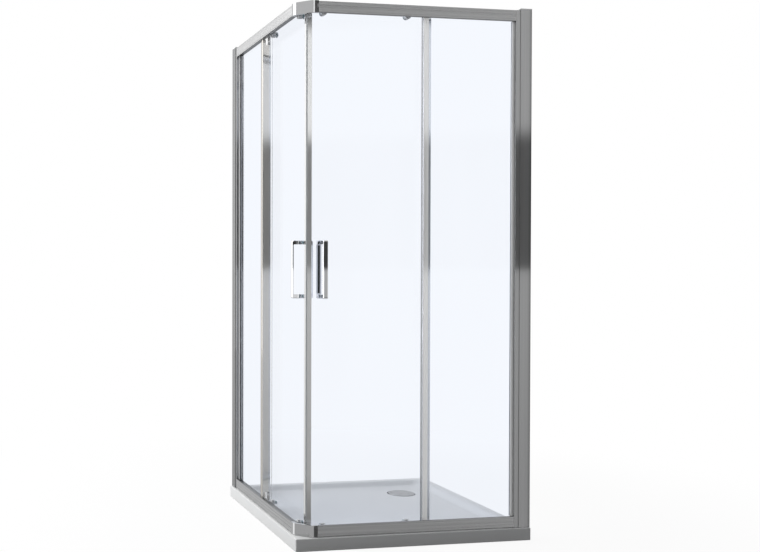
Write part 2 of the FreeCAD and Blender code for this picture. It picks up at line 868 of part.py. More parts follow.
def axle(label, x, z):
    """A headed axle from the wheel's outer side into its carrier."""
    body = new_body(label)
    place(body, x, q(wheel_q - S.wheel_play), z)
    end = carrier_q - wheel_q + S.wheel_play + S.axle_bite
    turned(
        body,
        [
            (ZERO, -S.axle_head_thick),
            (S.axle_head / 2, -S.axle_head_thick),
            (S.axle_head / 2, ZERO),
            (S.axle / 2, ZERO),
            (S.axle / 2, end),
            (ZERO, end),
        ],
    )
    return body


carriers = []
axles = []
for tag, x in zip(places, roller_x):
    keep_pair(wheel("right_top_wheel_" + tag, x, up(top_axle), S.top_groove))
    carrier = new_body("right_carrier_" + tag)
    pad(carrier, "XZ", q(carrier_q), door_out, ("circle", (x, boss_z), S.boss_diameter))
    rounded(carrier, S.boss_edge, {"y": q(carrier_q)})
    lug = S.lug_diameter / 2
    pad(
        carrier,
        "XZ",
        q(carrier_q),
        q(carrier_q + S.lug_thick),
        rectangle(x - lug, x + lug, boss_z, up(top_axle)),
    )
    pad(
        carrier,
        "XZ",
        q(carrier_q),
        q(carrier_q + S.lug_thick),
        ("circle", (x, up(top_axle)), S.lug_diameter),
    )
    cut(carrier, "XZ", door_out - S.stud_bite, door_out, ("circle", (x, boss_z), bore))
    snug = S.axle + S.axle_clearance * 2
    cut(
        carrier,
        "XZ",
        q(carrier_q),
        q(carrier_q + S.axle_bite + S.wheel_play),
        ("circle", (x, up(top_axle)), snug),
    )
    carriers.append(carrier)
    axles.append(axle("right_axle_" + tag, x, up(top_axle)))
keep_pair(group("right_roller_carriers", *carriers))
keep_pair(group("right_roller_axles", *axles))

# Bottom guides: housing on the door, sprung button with its wheel, spring strip under the button.
housings = []
springs = []
housing_top = down(S.housing_drop)
housing_low = housing_top - S.housing_tall
button_low = housing_top + S.spring_room
stem_out = q(S.stem_q)
stem_in = stem_out + S.stem_deep
for tag, x in zip(places, roller_x):
    housing = new_body("right_housing_" + tag)
    wide = S.housing_wide / 2
    pad(
        housing,
        "XY",
        housing_low,
        housing_top,
        rectangle(x - wide, x + wide, q(carrier_q), door_out),
    )
    rounded(
        housing,
        S.boss_edge,
        {"x": x - wide, "y": q(carrier_q)},
        {"x": x + wide, "y": q(carrier_q)},
    )
    play = S.stem_clearance
    stem = S.stem_wide / 2
    cut(
        housing,
        "XY",
        housing_low,
        housing_top,
        rectangle(x - stem - play, x + stem + play, stem_out - play, stem_in + play),
    )
    short_bore = S.bolt + S.stud_clearance * 2
    cut(housing, "XZ", door_out - S.stud_short, door_out, ("circle", (x, guide_z), short_bore))
    housings.append(housing)

    button = new_body("right_button_" + tag)
    pad(
        button,
        "XY",
        housing_low - S.foot_room,
        button_low,
        rectangle(x - stem, x + stem, stem_out, stem_in),
    )
    head = S.button_wide / 2
    head_out = door_out - S.glass_edge_room / 2 - S.button_deep
    pad(
        button,
        "XY",
        button_low,
        button_low + S.button_thick,
        rectangle(x - head, x + head, head_out, head_out + S.button_deep),
    )
    rounded(button, S.boss_edge / 2, {"z": button_low + S.button_thick})
    sole = S.foot_wide / 2
    foot_top = housing_low - S.foot_room
    pad(
        button,
        "XY",
        foot_top - S.foot_tall,
        foot_top,
        rectangle(x - sole, x + sole, q(carrier_q), stem_in),
    )
    axle_z = down(low_axle)
    pad(button, "XZ", q(wheel_q - S.wheel_play), q(carrier_q), ("circle", (x, axle_z), S.axle))
    pad(
        button,
        "XZ",
        q(wheel_q - S.wheel_play - S.axle_head_thick),
        q(wheel_q - S.wheel_play),
        ("circle", (x, axle_z), S.axle_head),
    )
    keep_pair(button)
    keep_pair(wheel("right_guide_wheel_" + tag, x, axle_z, S.low_groove))

    spring = new_body("right_spring_" + tag)
    span = S.spring_span / 2
    toe = S.spring_toe
    strip = S.spring_thick
    pad(
        spring,
        "XZ",
        stem_in + S.spring_side,
        stem_in + S.spring_side + S.spring_wide,
        [
            (x - span, housing_top),
            (x - span + toe, housing_top),
            (x - toe, button_low - strip * 2),
            (x + toe, button_low - strip * 2),
            (x + span - toe, housing_top),
            (x + span, housing_top),
            (x + span, housing_top + strip),
            (x + span - toe, housing_top + strip * 2),
            (x + toe, button_low),
            (x - toe, button_low),
            (x - span + toe, housing_top + strip * 2),
            (x - span, housing_top + strip),
        ],
    )
    springs.append(spring)
keep_pair(group("right_guide_housings", *housings))
keep_pair(group("right_release_springs", *springs))

# Caps on the inner side of the glass, with the studs that clamp carriers and housings to it.
caps = []
for tag, x in zip(places, roller_x):
    for level, z, stud, bite, across in (
        ("top", boss_z, S.stud_diameter, S.stud_bite, S.boss_diameter),
        ("low", guide_z, S.bolt, S.stud_short, S.low_cap),
    ):
        cap = new_body("right_cap_%s_%s" % (level, tag))
        place(cap, x, door_in, z)
        turned(
            cap,
            [
                (ZERO, -S.glass_thick - bite),
                (stud / 2, -S.glass_thick - bite),
                (stud / 2, ZERO),
                (across / 2, ZERO),
                (across / 2, S.cap_tall - S.boss_edge),
                (across / 2 - S.boss_edge, S.cap_tall),
                (ZERO, S.cap_tall),
            ],
        )
        caps.append(cap)
keep_pair(group("right_roller_caps", *caps))

# Door stops on the track, past the wheels at both ends of the travel.
stops = []
wheel_rim = S.top_groove + S.flange_tall
stop_low = roller_x[0] - wheel_rim - S.stop_gap - S.stop_long
stop_high = roller_x[1] + S.door_travel + wheel_rim + S.stop_gap
for tag, x in (("shut", stop_low), ("open", stop_high)):
    stop = new_body("right_stop_" + tag)
    side = S.wheel_wide / 2
    bead = S.bead_wide / 2 + S.stop_room
    pad(
        stop,
        "YZ",
        x,
        x + S.stop_long,
        [
            (q(S.bead_q - side), up(track)),
            (q(S.bead_q - bead), up(track)),
            (q(S.bead_q - bead), up(bead_top + S.stop_room)),
            (q(S.bead_q + bead), up(bead_top + S.stop_room)),
            (q(S.bead_q + bead), up(track)),
            (q(S.bead_q + side), up(track)),
            (q(S.bead_q + side), up(track + S.stop_tall)),
            (q(S.bead_q - side), up(track + S.stop_tall)),
        ],
    )
    stops.append(stop)
right_stops = group("right_door_stops", *stops)
keep(group("door_stops", right_stops, mirror_image(right_stops, "left_door_stops")))

# Doors: leading profile mitred to its twin, seal on the mitre, glass, trailing profile with fin.
door_low = down(S.door_overlap)
door_high = up(S.door_overlap)
leaf_out = door_out - S.door_profile_side
leaf_in = door_in + S.door_profile_side
seal_near = S.seal_gap
seal_far = S.seal_gap + S.seal_wide
lead_end = corner + S.leading_end_x
lead_slot = leaf_in + seal_far + S.leading_web
leading = new_body("right_leading_profile")
pad(
    leading,
    "XY",
    door_low,
    door_high,
    [
        (lead_end, leaf_out),
        (leaf_out + seal_far, leaf_out),
        (leaf_in + seal_far, leaf_in),
        (lead_end, leaf_in),
        (lead_end, door_in),
        (lead_slot, door_in),
        (lead_slot, door_out),
        (lead_end, door_out),
    ],
)
rounded(
    leading,
    S.door_profile_radius,
    {"x": lead_end, "y": leaf_out},
    {"x": lead_end, "y": leaf_in},
)
keep_pair(leading)

seal = new_body("right_magnetic_seal")
pad(
    seal,
    "XY",
    door_low,
    door_high,
    [
        (leaf_out + seal_near, leaf_out),
        (leaf_in + seal_near, leaf_in),
        (leaf_in + seal_far, leaf_in),
        (leaf_out + seal_far, leaf_out),
    ],
)
keep_pair(seal)

trail_end = trail_x + S.trailing_wide
trail_slot = trail_x + S.trailing_bite
trailing = new_body("right_trailing_profile")
pad(
    trailing,
    "XY",
    door_low,
    door_high,
    [
        (trail_x, leaf_out),
        (trail_end, leaf_out),
        (trail_end, leaf_in),
        (trail_x, leaf_in),
        (trail_x, door_in),
        (trail_slot, door_in),
        (trail_slot, door_out),
        (trail_x, door_out),
    ],
)
pad(
    trailing,
    "XY",
    sill_top + S.fin_end,
    rail_low - S.fin_end,
    rectangle(trail_x, trail_x + S.fin_thick, leaf_out - S.fin_long, leaf_out),
)
rounded(
    trailing,
    S.door_profile_radius,
    {"x": trail_end, "y": leaf_out},
    {"x": trail_end, "y": leaf_in},
    {"x": trail_x, "y": leaf_in},
)
keep_pair(trailing)

door_glass = new_body("right_door_glass")
handle_mid = corner + S.handle_x
handle_low = rim + S.handle_low
handle_high = handle_low + S.handle_tall
bolt_z = (handle_low + S.handle_post / 2, handle_high - S.handle_post / 2)
pad(
    door_glass,
    "XZ",
    door_out,
    door_in,
    rectangle(lead_slot, trail_slot, door_low, door_high),
)
room = S.glass_hole_room * 2
holes = [("circle", (x, boss_z), S.stud_diameter + room) for x in roller_x]
holes += [("circle", (x, guide_z), S.bolt + room) for x in roller_x]
holes += [("circle", (handle_mid, z), S.bolt + room) for z in bolt_z]
cut(door_glass, "XZ", door_out, door_in, *holes)
keep_pair(door_glass)


# Handles: flat chrome bows on both sides of the glass, bolted through it.
def handle(label, glass_face, side):
    """A bow that stands off the glass face, outwards for side -1 and inwards for side 1."""
    body = new_body(label)
    far = glass_face + S.handle_reach * side
    near = far - S.handle_thick * side
    wide = S.handle_wide / 2
    post_low = handle_low + S.handle_post
    post_high = handle_high - S.handle_post
    pad(
        body,
        "YZ",
        handle_mid - wide,
        handle_mid + wide,
        [
            (glass_face, handle_low),
            (far, handle_low),
            (far, handle_high),
            (glass_face, handle_high),
            (glass_face, post_high),
            (near, post_high),
            (near, post_low),
            (glass_face, post_low),
        ],
    )
    rounded(body, S.handle_outer_radius, {"y": far, "z": handle_low}, {"y": far, "z": handle_high})
    rounded(body, S.handle_inner_radius, {"y": near, "z": post_low}, {"y": near, "z": post_high})
    rounded(
        body,
        S.handle_edge,
        {"x": handle_mid - wide, "y": far},
        {"x": handle_mid + wide, "y": far},
    )
    ends = sorted([glass_face, glass_face + S.bolt_bite * side], key=lambda size: size.value)
    bolt_bore = S.bolt + S.stud_clearance * 2
    cut(body, "XZ", *ends, *[("circle", (handle_mid, z), bolt_bore) for z in bolt_z])
    return body


keep_pair(handle("right_handle_outer", door_out, -1))
keep_pair(handle("right_handle_inner", door_in, 1))
bolts = []
for number, z in enumerate(bolt_z):
    one_bolt = new_body("right_handle_bolt_%d" % number)
    pad(
        one_bolt,
        "XZ",
        door_out - S.bolt_bite,
        door_in + S.bolt_bite,
        ("circle", (handle_mid, z), S.bolt),
    )
    bolts.append(one_bolt)
keep_pair(group("right_handle_bolts", *bolts))

doc.recompute()
for item in doc.Objects:
    if "Invalid" in item.State or "Error" in item.State:
        raise ValueError("%s is not up to date" % item.Label)
os.makedirs("parts", exist_ok=True)
for item in NODES:
    shape = item.Shape
    if shape.isNull() or not shape.isValid():
        raise ValueError("%s has no valid shape" % item.Label)
    shape.exportStep("parts/%s.step" % item.Label)
print("%d nodes" % len(NODES))
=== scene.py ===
import math

import bmesh
import bpy
from bpy.props import FloatProperty, FloatVectorProperty, IntProperty, PointerProperty
from mathutils import Matrix, Vector


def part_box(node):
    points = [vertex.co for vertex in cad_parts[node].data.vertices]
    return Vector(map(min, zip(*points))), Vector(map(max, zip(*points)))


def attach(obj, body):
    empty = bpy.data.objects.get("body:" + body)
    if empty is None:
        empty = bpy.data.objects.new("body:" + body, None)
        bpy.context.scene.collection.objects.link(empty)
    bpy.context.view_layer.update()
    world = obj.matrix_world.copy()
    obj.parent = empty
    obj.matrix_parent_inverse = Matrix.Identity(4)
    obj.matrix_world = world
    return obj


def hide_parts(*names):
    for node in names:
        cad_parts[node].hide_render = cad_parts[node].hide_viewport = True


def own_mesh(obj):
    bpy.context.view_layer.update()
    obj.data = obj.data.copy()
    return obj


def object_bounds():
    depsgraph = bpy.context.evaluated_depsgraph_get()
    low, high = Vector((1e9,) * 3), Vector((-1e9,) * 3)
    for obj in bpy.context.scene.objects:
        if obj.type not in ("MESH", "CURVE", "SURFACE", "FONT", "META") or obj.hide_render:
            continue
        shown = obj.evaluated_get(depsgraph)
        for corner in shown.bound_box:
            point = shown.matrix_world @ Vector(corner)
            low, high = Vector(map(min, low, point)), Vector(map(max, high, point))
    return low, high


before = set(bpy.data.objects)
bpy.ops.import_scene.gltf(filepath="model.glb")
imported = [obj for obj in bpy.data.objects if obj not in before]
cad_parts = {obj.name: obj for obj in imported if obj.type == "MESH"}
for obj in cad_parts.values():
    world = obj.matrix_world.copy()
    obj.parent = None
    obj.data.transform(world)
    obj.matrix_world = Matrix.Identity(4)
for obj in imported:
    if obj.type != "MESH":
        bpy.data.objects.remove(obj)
CAD_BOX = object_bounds()

bl_info = {
    "name": "Corner shower enclosure",
    "version": (1, 0, 0),
    "blender": (4, 5, 0),
    "location": "View3D > Sidebar > Shower",
    "description": "Finishes and fine detail for a corner-entry shower enclosure with sliding glass doors",
    "category": "3D View",
}

# The right panel runs along X and faces -Y. The left panel is its mirror image across the plane x = y.
SIDES = ("right", "left")
PLACES = ("lead", "trail")
SWAP_SIDES = Matrix(((0, 1, 0, 0), (1, 0, 0, 0), (0, 0, 1, 0), (0, 0, 0, 1)))
RUN_AXIS = {"right": 0, "left": 1}
PANE_AXIS = {"right": 1, "left": 0}
LEFTWARD = 0
UPRIGHT = 2
AXIS_NAMES = ("X", "Y", "Z")
MM = 0.001
WELD = 0.001 * MM
WHITE = (1, 1, 1)

# How far a normal lies along an axis before its face counts as square to it: a soft step.
SQUARE_ON = (0.9, 0.95)
# A face this near to a pane lies on it.
CONTACT = 0.2 * MM

# Drawn aluminium: the haze lost at a flat angle, the roughness of the haze, the level of painted shade,
# the angles at which the slot of a pane lets the view pass, and how far a face looks inwards before it
# takes the painted light of the inner colour.
HAZE_FADE = 0.8
HAZE_ROUGHNESS = 0.5
PAINTED_SHADE_LEVEL = 0.2
FLAT_ANGLE = (0.55, 0.65)
INWARD = (0.5, 0.9)

# Directions in the studio. The camera's side is the front. A dark board stands there, a little to the right.
UP = (0, 0, 1)
RIGHTWARD = (1, 0, 0)
FRONT = (-0.38, -0.92, 0)
BOARD_AHEAD = (0.342, -0.94, 0)
BOARD_BESIDE = (0.94, 0.342, 0)
KEY_SIDE = (-0.94, 0.34, 0)
KEY_AWAY = Vector((-0.87, 0.31, 0.38))

# What reflections show. Widths, heights and depths are sines of angles. A pair is the ends of a soft step.
IN_FRONT = (0.5, 0.7)
HORIZON = (-0.009, -0.004)
BAND_AHEAD = (0.2, 0.5)
BAND_BLUR = 0.01
BOARD_HALF = 0.08
POST_HALF = 0.02
BOARD_BLUR = 1.5
BEAM_RISE = (0.21, 0.222)
BEAM_DARK = 0.95
STRIP_HALF = (0.04, 0.07)
STRIP_RISE = (0.13, 0.2)
GLINT = (0.85, 0.95)
GROUND_FADE = 0.2
GROUND_FADE_DEPTH = 0.25
# The board's shade on the ground, what it gains over two ranges of depth, and the shade of a post before it.
BOARD_SHADE = 0.22
BOARD_SHADE_STEPS = ((0.03, 0.15, 0.13), (0.19, 0.23, 0.5))
POST_SHADE = 0.55

# Light in the studio: how it grows towards the back, its tint, the most that the world gives, how many of
# the part's diagonals the key light stands away, and the camera's sensor in millimetres.
BACK_CURVE = 0.6
SKY_TINT = (0.985, 0.99, 1.0)
MOST_GLOW = 4
KEY_DISTANCE = 1.4
SENSOR_WIDTH = 36.0
# The paper's white, the share of it that glows at the tray, and where it runs out into the background.
PAPER_WHITE = (0.9, 0.9, 0.9)
PAPER_GLOW = 0.92
PAPER_RUN = (0.8, 2.2)


class Wire:
    """An output socket that takes part in sums: each operator adds a Math node."""

    def __init__(self, board, socket):
        self.board = board
        self.socket = socket

    def __add__(self, other):
        return self.board.maths("ADD", self, other)

    __radd__ = __add__

    def __sub__(self, other):
        return self.board.maths("SUBTRACT", self, other)

    def __rsub__(self, other):
        return self.board.maths("SUBTRACT", other, self)

    def __mul__(self, other):
        return self.board.maths("MULTIPLY", self, other)

    __rmul__ = __mul__

    def __pow__(self, other):
        return self.board.maths("POWER", self, other)

    def __abs__(self):
        return self.board.maths("ABSOLUTE", self)


class Board:
    """Lays out the nodes of one material or of the world."""

    def __init__(self, tree):
        self.tree = tree
        tree.nodes.clear()

    def node(self, kind, settings=None, inputs=None):
        """Adds a node and returns its outputs by name."""
        made = self.tree.nodes.new(kind)
        for name, value in (settings or {}).items():
            setattr(made, name, value)
        for name, value in (inputs or {}).items():
            if isinstance(name, str):
                socket = next(s for s in made.inputs if s.name == name and s.enabled)
            else:
                socket = made.inputs[name]
            if isinstance(value, Wire):
                self.tree.links.new(value.socket, socket)
            else:
                socket.default_value = value
        return {s.name: Wire(self, s) for s in made.outputs if s.enabled}

    def maths(self, operation, *values):
        return self.node("ShaderNodeMath", {"operation": operation}, dict(enumerate(values)))["Value"]

    def blend(self, share, low, high):
        """A colour between two colours."""
        inputs = {"Factor": share, "A": low, "B": high}
        return self.node("ShaderNodeMix", {"data_type": "RGBA"}, inputs)["Result"]

    def light(self, level, most, tint):
        """A colour as bright as the level, which may be above 1, up to the most that is asked for."""
        return self.blend(level * (1 / most), opaque((0, 0, 0)), shaded(tint, most))

    def between(self, value, low, high):
        """0 below low, 1 above high and a soft step between them."""
        settings = {"interpolation_type": "SMOOTHSTEP"}
        inputs = {"Value": value, "From Min": low, "From Max": high}
        return self.node("ShaderNodeMapRange", settings, inputs)["Result"]

    def noise(self, scale, detail):
        """Noise on Object coordinates, with its own scale per axis, in cycles per metre."""
        spot = self.node("ShaderNodeTexCoord")["Object"]
        spot = self.node("ShaderNodeMapping", None, {"Vector": spot, "Scale": scale})["Vector"]
        inputs = {"Vector": spot, "Scale": 1.0, "Detail": detail}
        return self.node("ShaderNodeTexNoise", None, inputs)["Fac"]

    def streaks(self, axis, along, across, detail):
        """Noise drawn out along one axis."""
        scale = [across] * 3
        scale[axis] = along
        return self.noise(scale, detail)

    def bump(self, height, depth, strength=1.0):
        inputs = {"Height": height, "Distance": depth, "Strength": strength}
        return self.node("ShaderNodeBump", None, inputs)["Normal"]

    def normal(self, axis):
        """How far a face looks along an axis of its object, from -1 to 1."""
        facing = self.node("ShaderNodeTexCoord")["Normal"]
        return self.node("ShaderNodeSeparateXYZ", None, {"Vector": facing})[AXIS_NAMES[axis]]

    def facing_axis(self, axis):
        """1 on faces square to the axis and 0 on faces that run along it."""
        return abs(self.normal(axis))

    def place(self, axis):
        """Where a point lies along an axis of its object."""
        spot = self.node("ShaderNodeTexCoord")["Object"]
        return self.node("ShaderNodeSeparateXYZ", None, {"Vector": spot})[AXIS_NAMES[axis]]

    def principled(self, inputs):
        return self.node("ShaderNodeBsdfPrincipled", None, inputs)["BSDF"]

    def mix_shader(self, share, first, second):
        inputs = {0: share, 1: first, 2: second}
        return self.node("ShaderNodeMixShader", None, inputs)["Shader"]


def opaque(colour):
    """A colour with full alpha, for a colour socket."""
    return (*colour, 1.0)


def shaded(colour, factor):
    """A darker or brighter colour, for a colour socket."""
    return opaque([channel * factor for channel in colour])


def finish(name, paint, *values, **options):
    """A material whose nodes the paint function lays out."""
    material = bpy.data.materials.new(name)
    material.use_nodes = True
    board = Board(material.node_tree)
    surface = paint(board, *values, **options)
    board.node("ShaderNodeOutputMaterial", None, {"Surface": surface})
    return material


def wear(material, *names):
    """Gives CAD nodes a finish in place of the plain one they came with."""
    for name in names:
        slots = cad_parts[name].data.materials
        slots.clear()
        slots.append(material)


# Finishes


def sanitary_acrylic(b, colour):
    """Cast white acrylic: soft gloss, a faint ripple from the mould and slightly dull patches."""
    ripple = b.noise((9, 9, 9), 2)
    dulled = b.between(b.noise((6, 6, 6), 4), 0.42, 0.68)
    return b.principled(
        {
            "Base Color": b.blend(ripple, shaded(colour, 0.985), opaque(colour)),
            "Roughness": 0.34 + dulled * 0.08,
            "Specular IOR Level": 0.25,
            "Coat Weight": 0.06,
            "Coat Roughness": 0.2,
            "Normal": b.bump(ripple, 0.03 * MM),
        }
    )


def drawn_aluminium(
    b, axis, colour, roughness, haze, streak, dark=None, rounded=None, inner=None, pane=None
):
    """Anodised extrusion with lines from the die along it.

    Haze is the share of dull reflection; it fades where the metal is seen at a flat angle. Dark is an axis
    and a share: faces square to that axis get painted shade, a darker colour. Rounded is an axis, a start, an
    end and a share: painted shade darkens the metal from the one to the other, in place of the shading of a
    rounded edge. Inner is an axis and a colour: faces that look that way take that colour as painted light.
    Pane is the glass that the metal holds: the axis across it and its two faces.
    """
    fine = b.streaks(axis, 2.0, 1500, 3)
    broad = b.streaks(axis, 0.8, 150, 2)
    tone = b.between(fine * 0.45 + broad * 0.55, 0.3, 0.7)
    tint = b.blend(tone, shaded(colour, 1 - streak), shaded(colour, 1 + streak))
    # Painted shade: faces square to the dark axis get a darker colour, and the rounded band adds more painted
    # shade near the wall.
    if dark:
        dark_axis, share = dark
        shade = b.facing_axis(dark_axis) * share
        if rounded:
            along, start, end, share = rounded
            shade = shade + b.between(b.place(along), start, end) * share
        tint = b.blend(shade, tint, shaded(colour, PAINTED_SHADE_LEVEL))
    # Painted light: faces that look along the inner axis take the pale inner colour.
    if inner:
        inward, painted_light_colour = inner
        tint = b.blend(b.between(b.normal(inward), *INWARD), tint, opaque(painted_light_colour))
    look = {"Metallic": 1.0, "Base Color": tint, "Normal": b.bump(fine, 0.03 * MM, 0.4)}
    bright = b.principled({**look, "Roughness": roughness * (1 - streak) + tone * roughness * streak * 2})
    dull = b.principled({**look, "Roughness": HAZE_ROUGHNESS})
    flat = b.node("ShaderNodeLayerWeight", None, {"Blend": 0.5})["Facing"]
    metal = b.mix_shader((1 - flat * HAZE_FADE) * haze, bright, dull)
    if pane is None:
        return metal
    clear = b.node("ShaderNodeBsdfTransparent")["BSDF"]
    return b.mix_shader(slot_faces(b, *pane) * b.between(flat, *FLAT_ANGLE), metal, clear)


def slot_faces(b, across, low, high):
    """1 on the faces of a slot that lie on its pane, and on the backs of all faces.

    Real glass would bend a flat ray out of the slot. This glass doesn't bend light, so these faces let a flat
    ray run on, and the slot doesn't show as a black line.
    """
    half = (high - low) / 2
    off = abs(b.place(across) - (low + high) / 2)
    held = b.between(b.facing_axis(across), *SQUARE_ON) * (1 - b.between(off, half, half + CONTACT))
    return b.maths("MAXIMUM", held, b.node("ShaderNodeNewGeometry")["Backfacing"])


def water_marks(b):
    """A few dull spots."""
    return b.between(b.noise((60, 60, 60), 4), 0.52, 0.72)


def mirror_chrome(b, colour, roughness):
    """Plated and polished, with a few dull water marks."""
    sweep = b.noise((9, 9, 4), 2)
    return b.principled(
        {
            "Metallic": 1.0,
            "Base Color": b.blend(sweep, shaded(colour, 0.97), opaque(colour)),
            "Roughness": roughness + water_marks(b) * roughness,
        }
    )


def chrome_with_painted_reflection(b, colour, roughness, run, across, towards_glass, box, painted_reflection_colour, painted_reflection_wide, painted_reflection_in):
    """Chrome with a painted reflection: a dark strip on the face of the handle that looks at the glass stands
    for the dark reflection there.
    """
    low, high = box
    middle = (low + high) / 2
    blur = 0.3 * MM
    # Painted reflection: a black, non-metal strip on the face that looks at the glass.
    near = b.between(b.normal(across) * towards_glass, *SQUARE_ON)
    painted_reflection = near
    for axis, reach in ((run, painted_reflection_wide / 2), (UPRIGHT, (high - low).z / 2 - painted_reflection_in)):
        off = abs(b.place(axis) - middle[axis])
        painted_reflection = painted_reflection * (1 - b.between(off, reach - blur, reach + blur))
    return b.principled(
        {
            "Metallic": 1 - painted_reflection,
            "Base Color": b.blend(painted_reflection, opaque(colour), opaque(painted_reflection_colour)),
            "Roughness": roughness + water_marks(b) * roughness + near * 0.3,
        }
    )


def clear_pane(b, axis, tint, edge_colour):
    """Toughened float glass: clear on its faces, greener and cloudier on its ground edges."""
    facing = b.node("ShaderNodeLayerWeight", None, {"Blend": 0.5})["Facing"]
    water_film = b.between(b.noise((5, 5, 1.2), 3), 0.4, 0.7)
    gloss = 0.008 + water_film * 0.004 + facing**5 * 0.15
    film = b.node("ShaderNodeBsdfTransparent", None, {"Color": opaque(tint)})["BSDF"]
    glaze = {"Color": opaque((0.95, 0.97, 1.0)), "Roughness": 0.02}
    shine = b.node("ShaderNodeBsdfAnisotropic", None, glaze)["BSDF"]
    ground = b.principled({"Base Color": opaque(edge_colour), "Roughness": 0.25})
    pane = b.mix_shader(gloss, film, shine)
    return b.mix_shader((1 - b.facing_axis(axis)) * 0.75, pane, ground)


def soft_seal(b, colour, clearness):
    """Extruded soft plastic, silver-grey, milky and a little see-through."""
    milky = b.streaks(UPRIGHT, 3, 300, 3)
    body = b.principled(
        {
            "Base Color": b.blend(milky, shaded(colour, 0.9), opaque(colour)),
            "Metallic": 0.6,
            "Roughness": 0.3 + milky * 0.15,
        }
    )
    film = b.node("ShaderNodeBsdfTransparent", None, {"Color": opaque((0.95, 0.96, 0.97))})["BSDF"]
    return b.mix_shader(1 - clearness + (milky - 0.5) * 0.1, film, body)


def silver_gasket(b, colour):
    """Extruded rubber with a dull silver skin."""
    lines = b.streaks(UPRIGHT, 3, 400, 3)
    return b.principled(
        {
            "Base Color": b.blend(lines, shaded(colour, 0.92), opaque(colour)),
            "Metallic": 1.0,
            "Roughness": 0.42 + lines * 0.1,
        }
    )


def moulded_plastic(b, axis, colour, painted_light_colour):
    """Grained plastic with a silver-grey pigment; its flat outer faces get a paler colour as painted light.
    """
    grain = b.noise((1800, 1800, 1800), 2)
    # Painted light: faces square to the axis take the paler colour.
    front = b.between(b.facing_axis(axis), 0.85, 0.98)
    return b.principled(
        {
            "Base Color": b.blend(front, opaque(colour), opaque(painted_light_colour)),
            "Metallic": 0.55,
            "Roughness": 0.34 + grain * 0.16,
            "Normal": b.bump(grain, 0.04 * MM),
        }
    )


def brushed_steel(b, colour):
    """Stainless steel with short lines from the brush."""
    lines = b.noise((900, 900, 120), 3)
    return b.principled(
        {
            "Metallic": 1.0,
            "Base Color": b.blend(lines, shaded(colour, 0.9), opaque(colour)),
            "Roughness": 0.22 + lines * 0.16,
        }
    )


def turned_nylon(b, colour):
    """White nylon with a fine grain and patches of grey film."""
    film = b.between(b.noise((240, 240, 240), 3), 0.45, 0.75)
    return b.principled(
        {
            "Base Color": b.blend(film, opaque(colour), shaded(colour, 0.82)),
            "Roughness": 0.36 + film * 0.15,
            "Normal": b.bump(b.noise((700, 700, 700), 2), 0.03 * MM),
        }
    )


def matt_rubber(b, colour):
    """Black rubber with a faint grey bloom."""
    bloom = b.noise((90, 90, 90), 4)
    return b.principled(
        {
            "Base Color": b.blend(bloom, opaque(colour), shaded(colour, 1.6)),
            "Roughness": 0.62 + bloom * 0.2,
            "Normal": b.bump(b.noise((1500, 1500, 1500), 2), 0.05 * MM),
        }
    )


# Modelling


def new_piece(name, mesh_tool, body, material, smooth_degrees=35):
    """Turns a bmesh into a piece that rides on a body."""
    bmesh.ops.remove_doubles(mesh_tool, verts=mesh_tool.verts, dist=WELD)
    bmesh.ops.recalc_face_normals(mesh_tool, faces=mesh_tool.faces)
    mesh = bpy.data.meshes.new(name)
    mesh_tool.to_mesh(mesh)
    mesh_tool.free()
    mesh.shade_smooth()
    mesh.set_sharp_from_angle(angle=math.radians(smooth_degrees))
    piece = bpy.data.objects.new(name, mesh)
    bpy.context.scene.collection.objects.link(piece)
    piece.data.materials.append(material)
    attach(piece, body)
    return piece


def rounded_loop(b, low, high, z, radius, segments):
    """A level rectangle with round corners, as a loop of edges."""
    middle = Matrix.Translation(((low[0] + high[0]) / 2, (low[1] + high[1]) / 2, z))
    size = Matrix.Diagonal((high[0] - low[0], high[1] - low[1], 1, 1))
    made = bmesh.ops.create_grid(b, x_segments=1, y_segments=1, size=0.5, matrix=middle @ size)
    bent = bmesh.ops.bevel(
        b,
        geom=made["verts"],
        offset=radius,
        offset_type="OFFSET",
        segments=segments,
        profile=0.5,
        affect="VERTICES",
        material=-1,
    )
    face = bent["verts"][0].link_faces[0]
    edges = list(face.edges)
    bmesh.ops.delete(b, geom=[face], context="FACES_ONLY")
    return edges


def round_loop(b, centre, z, radius, segments):
    """A level circle, as a loop of edges."""
    spot = Matrix.Translation((centre[0], centre[1], z))
    made = bmesh.ops.create_circle(b, cap_ends=False, radius=radius, segments=segments, matrix=spot)
    return list({edge for vertex in made["verts"] for edge in vertex.link_edges})


def corners(geometry):
    """The vertices among what an operator returns."""
    return [item for item in geometry if isinstance(item, bmesh.types.BMVert)]


def carried(b, loop, low, high, z):
    """Extrudes a level loop on to another rectangle and height, and returns the new loop."""
    old = [vertex.co.copy() for vertex in {v for edge in loop for v in edge.verts}]
    made = bmesh.ops.extrude_edge_only(b, edges=loop)["geom"]
    verts = set(corners(made))
    old_low = Vector(map(min, zip(*old)))
    old_high = Vector(map(max, zip(*old)))
    shift = Matrix.Translation(-(old_low + old_high) / 2)
    grow = Matrix.Diagonal([(high[i] - low[i]) / (old_high[i] - old_low[i]) for i in (0, 1)] + [1, 1])
    move = Matrix.Translation(((low[0] + high[0]) / 2, (low[1] + high[1]) / 2, z))
    bmesh.ops.transform(b, matrix=move @ grow @ shift, verts=list(verts))
    return list({edge for vertex in verts for edge in vertex.link_edges if verts.issuperset(edge.verts)})


def spun(b, outline, steps):
    """A surface of revolution about Y from (radius, y) points."""
    points = [b.verts.new((radius, y, 0)) for radius, y in outline]
    edges = [b.edges.new(pair) for pair in zip(points, points[1:])]
    bmesh.ops.spin(
        b,
        geom=points + edges,
        cent=(0, 0, 0),
        axis=(0, 1, 0),
        angle=math.tau,
        steps=steps,
        use_merge=True,
        use_duplicate=False,
    )
    bmesh.ops.remove_doubles(b, verts=b.verts, dist=WELD)


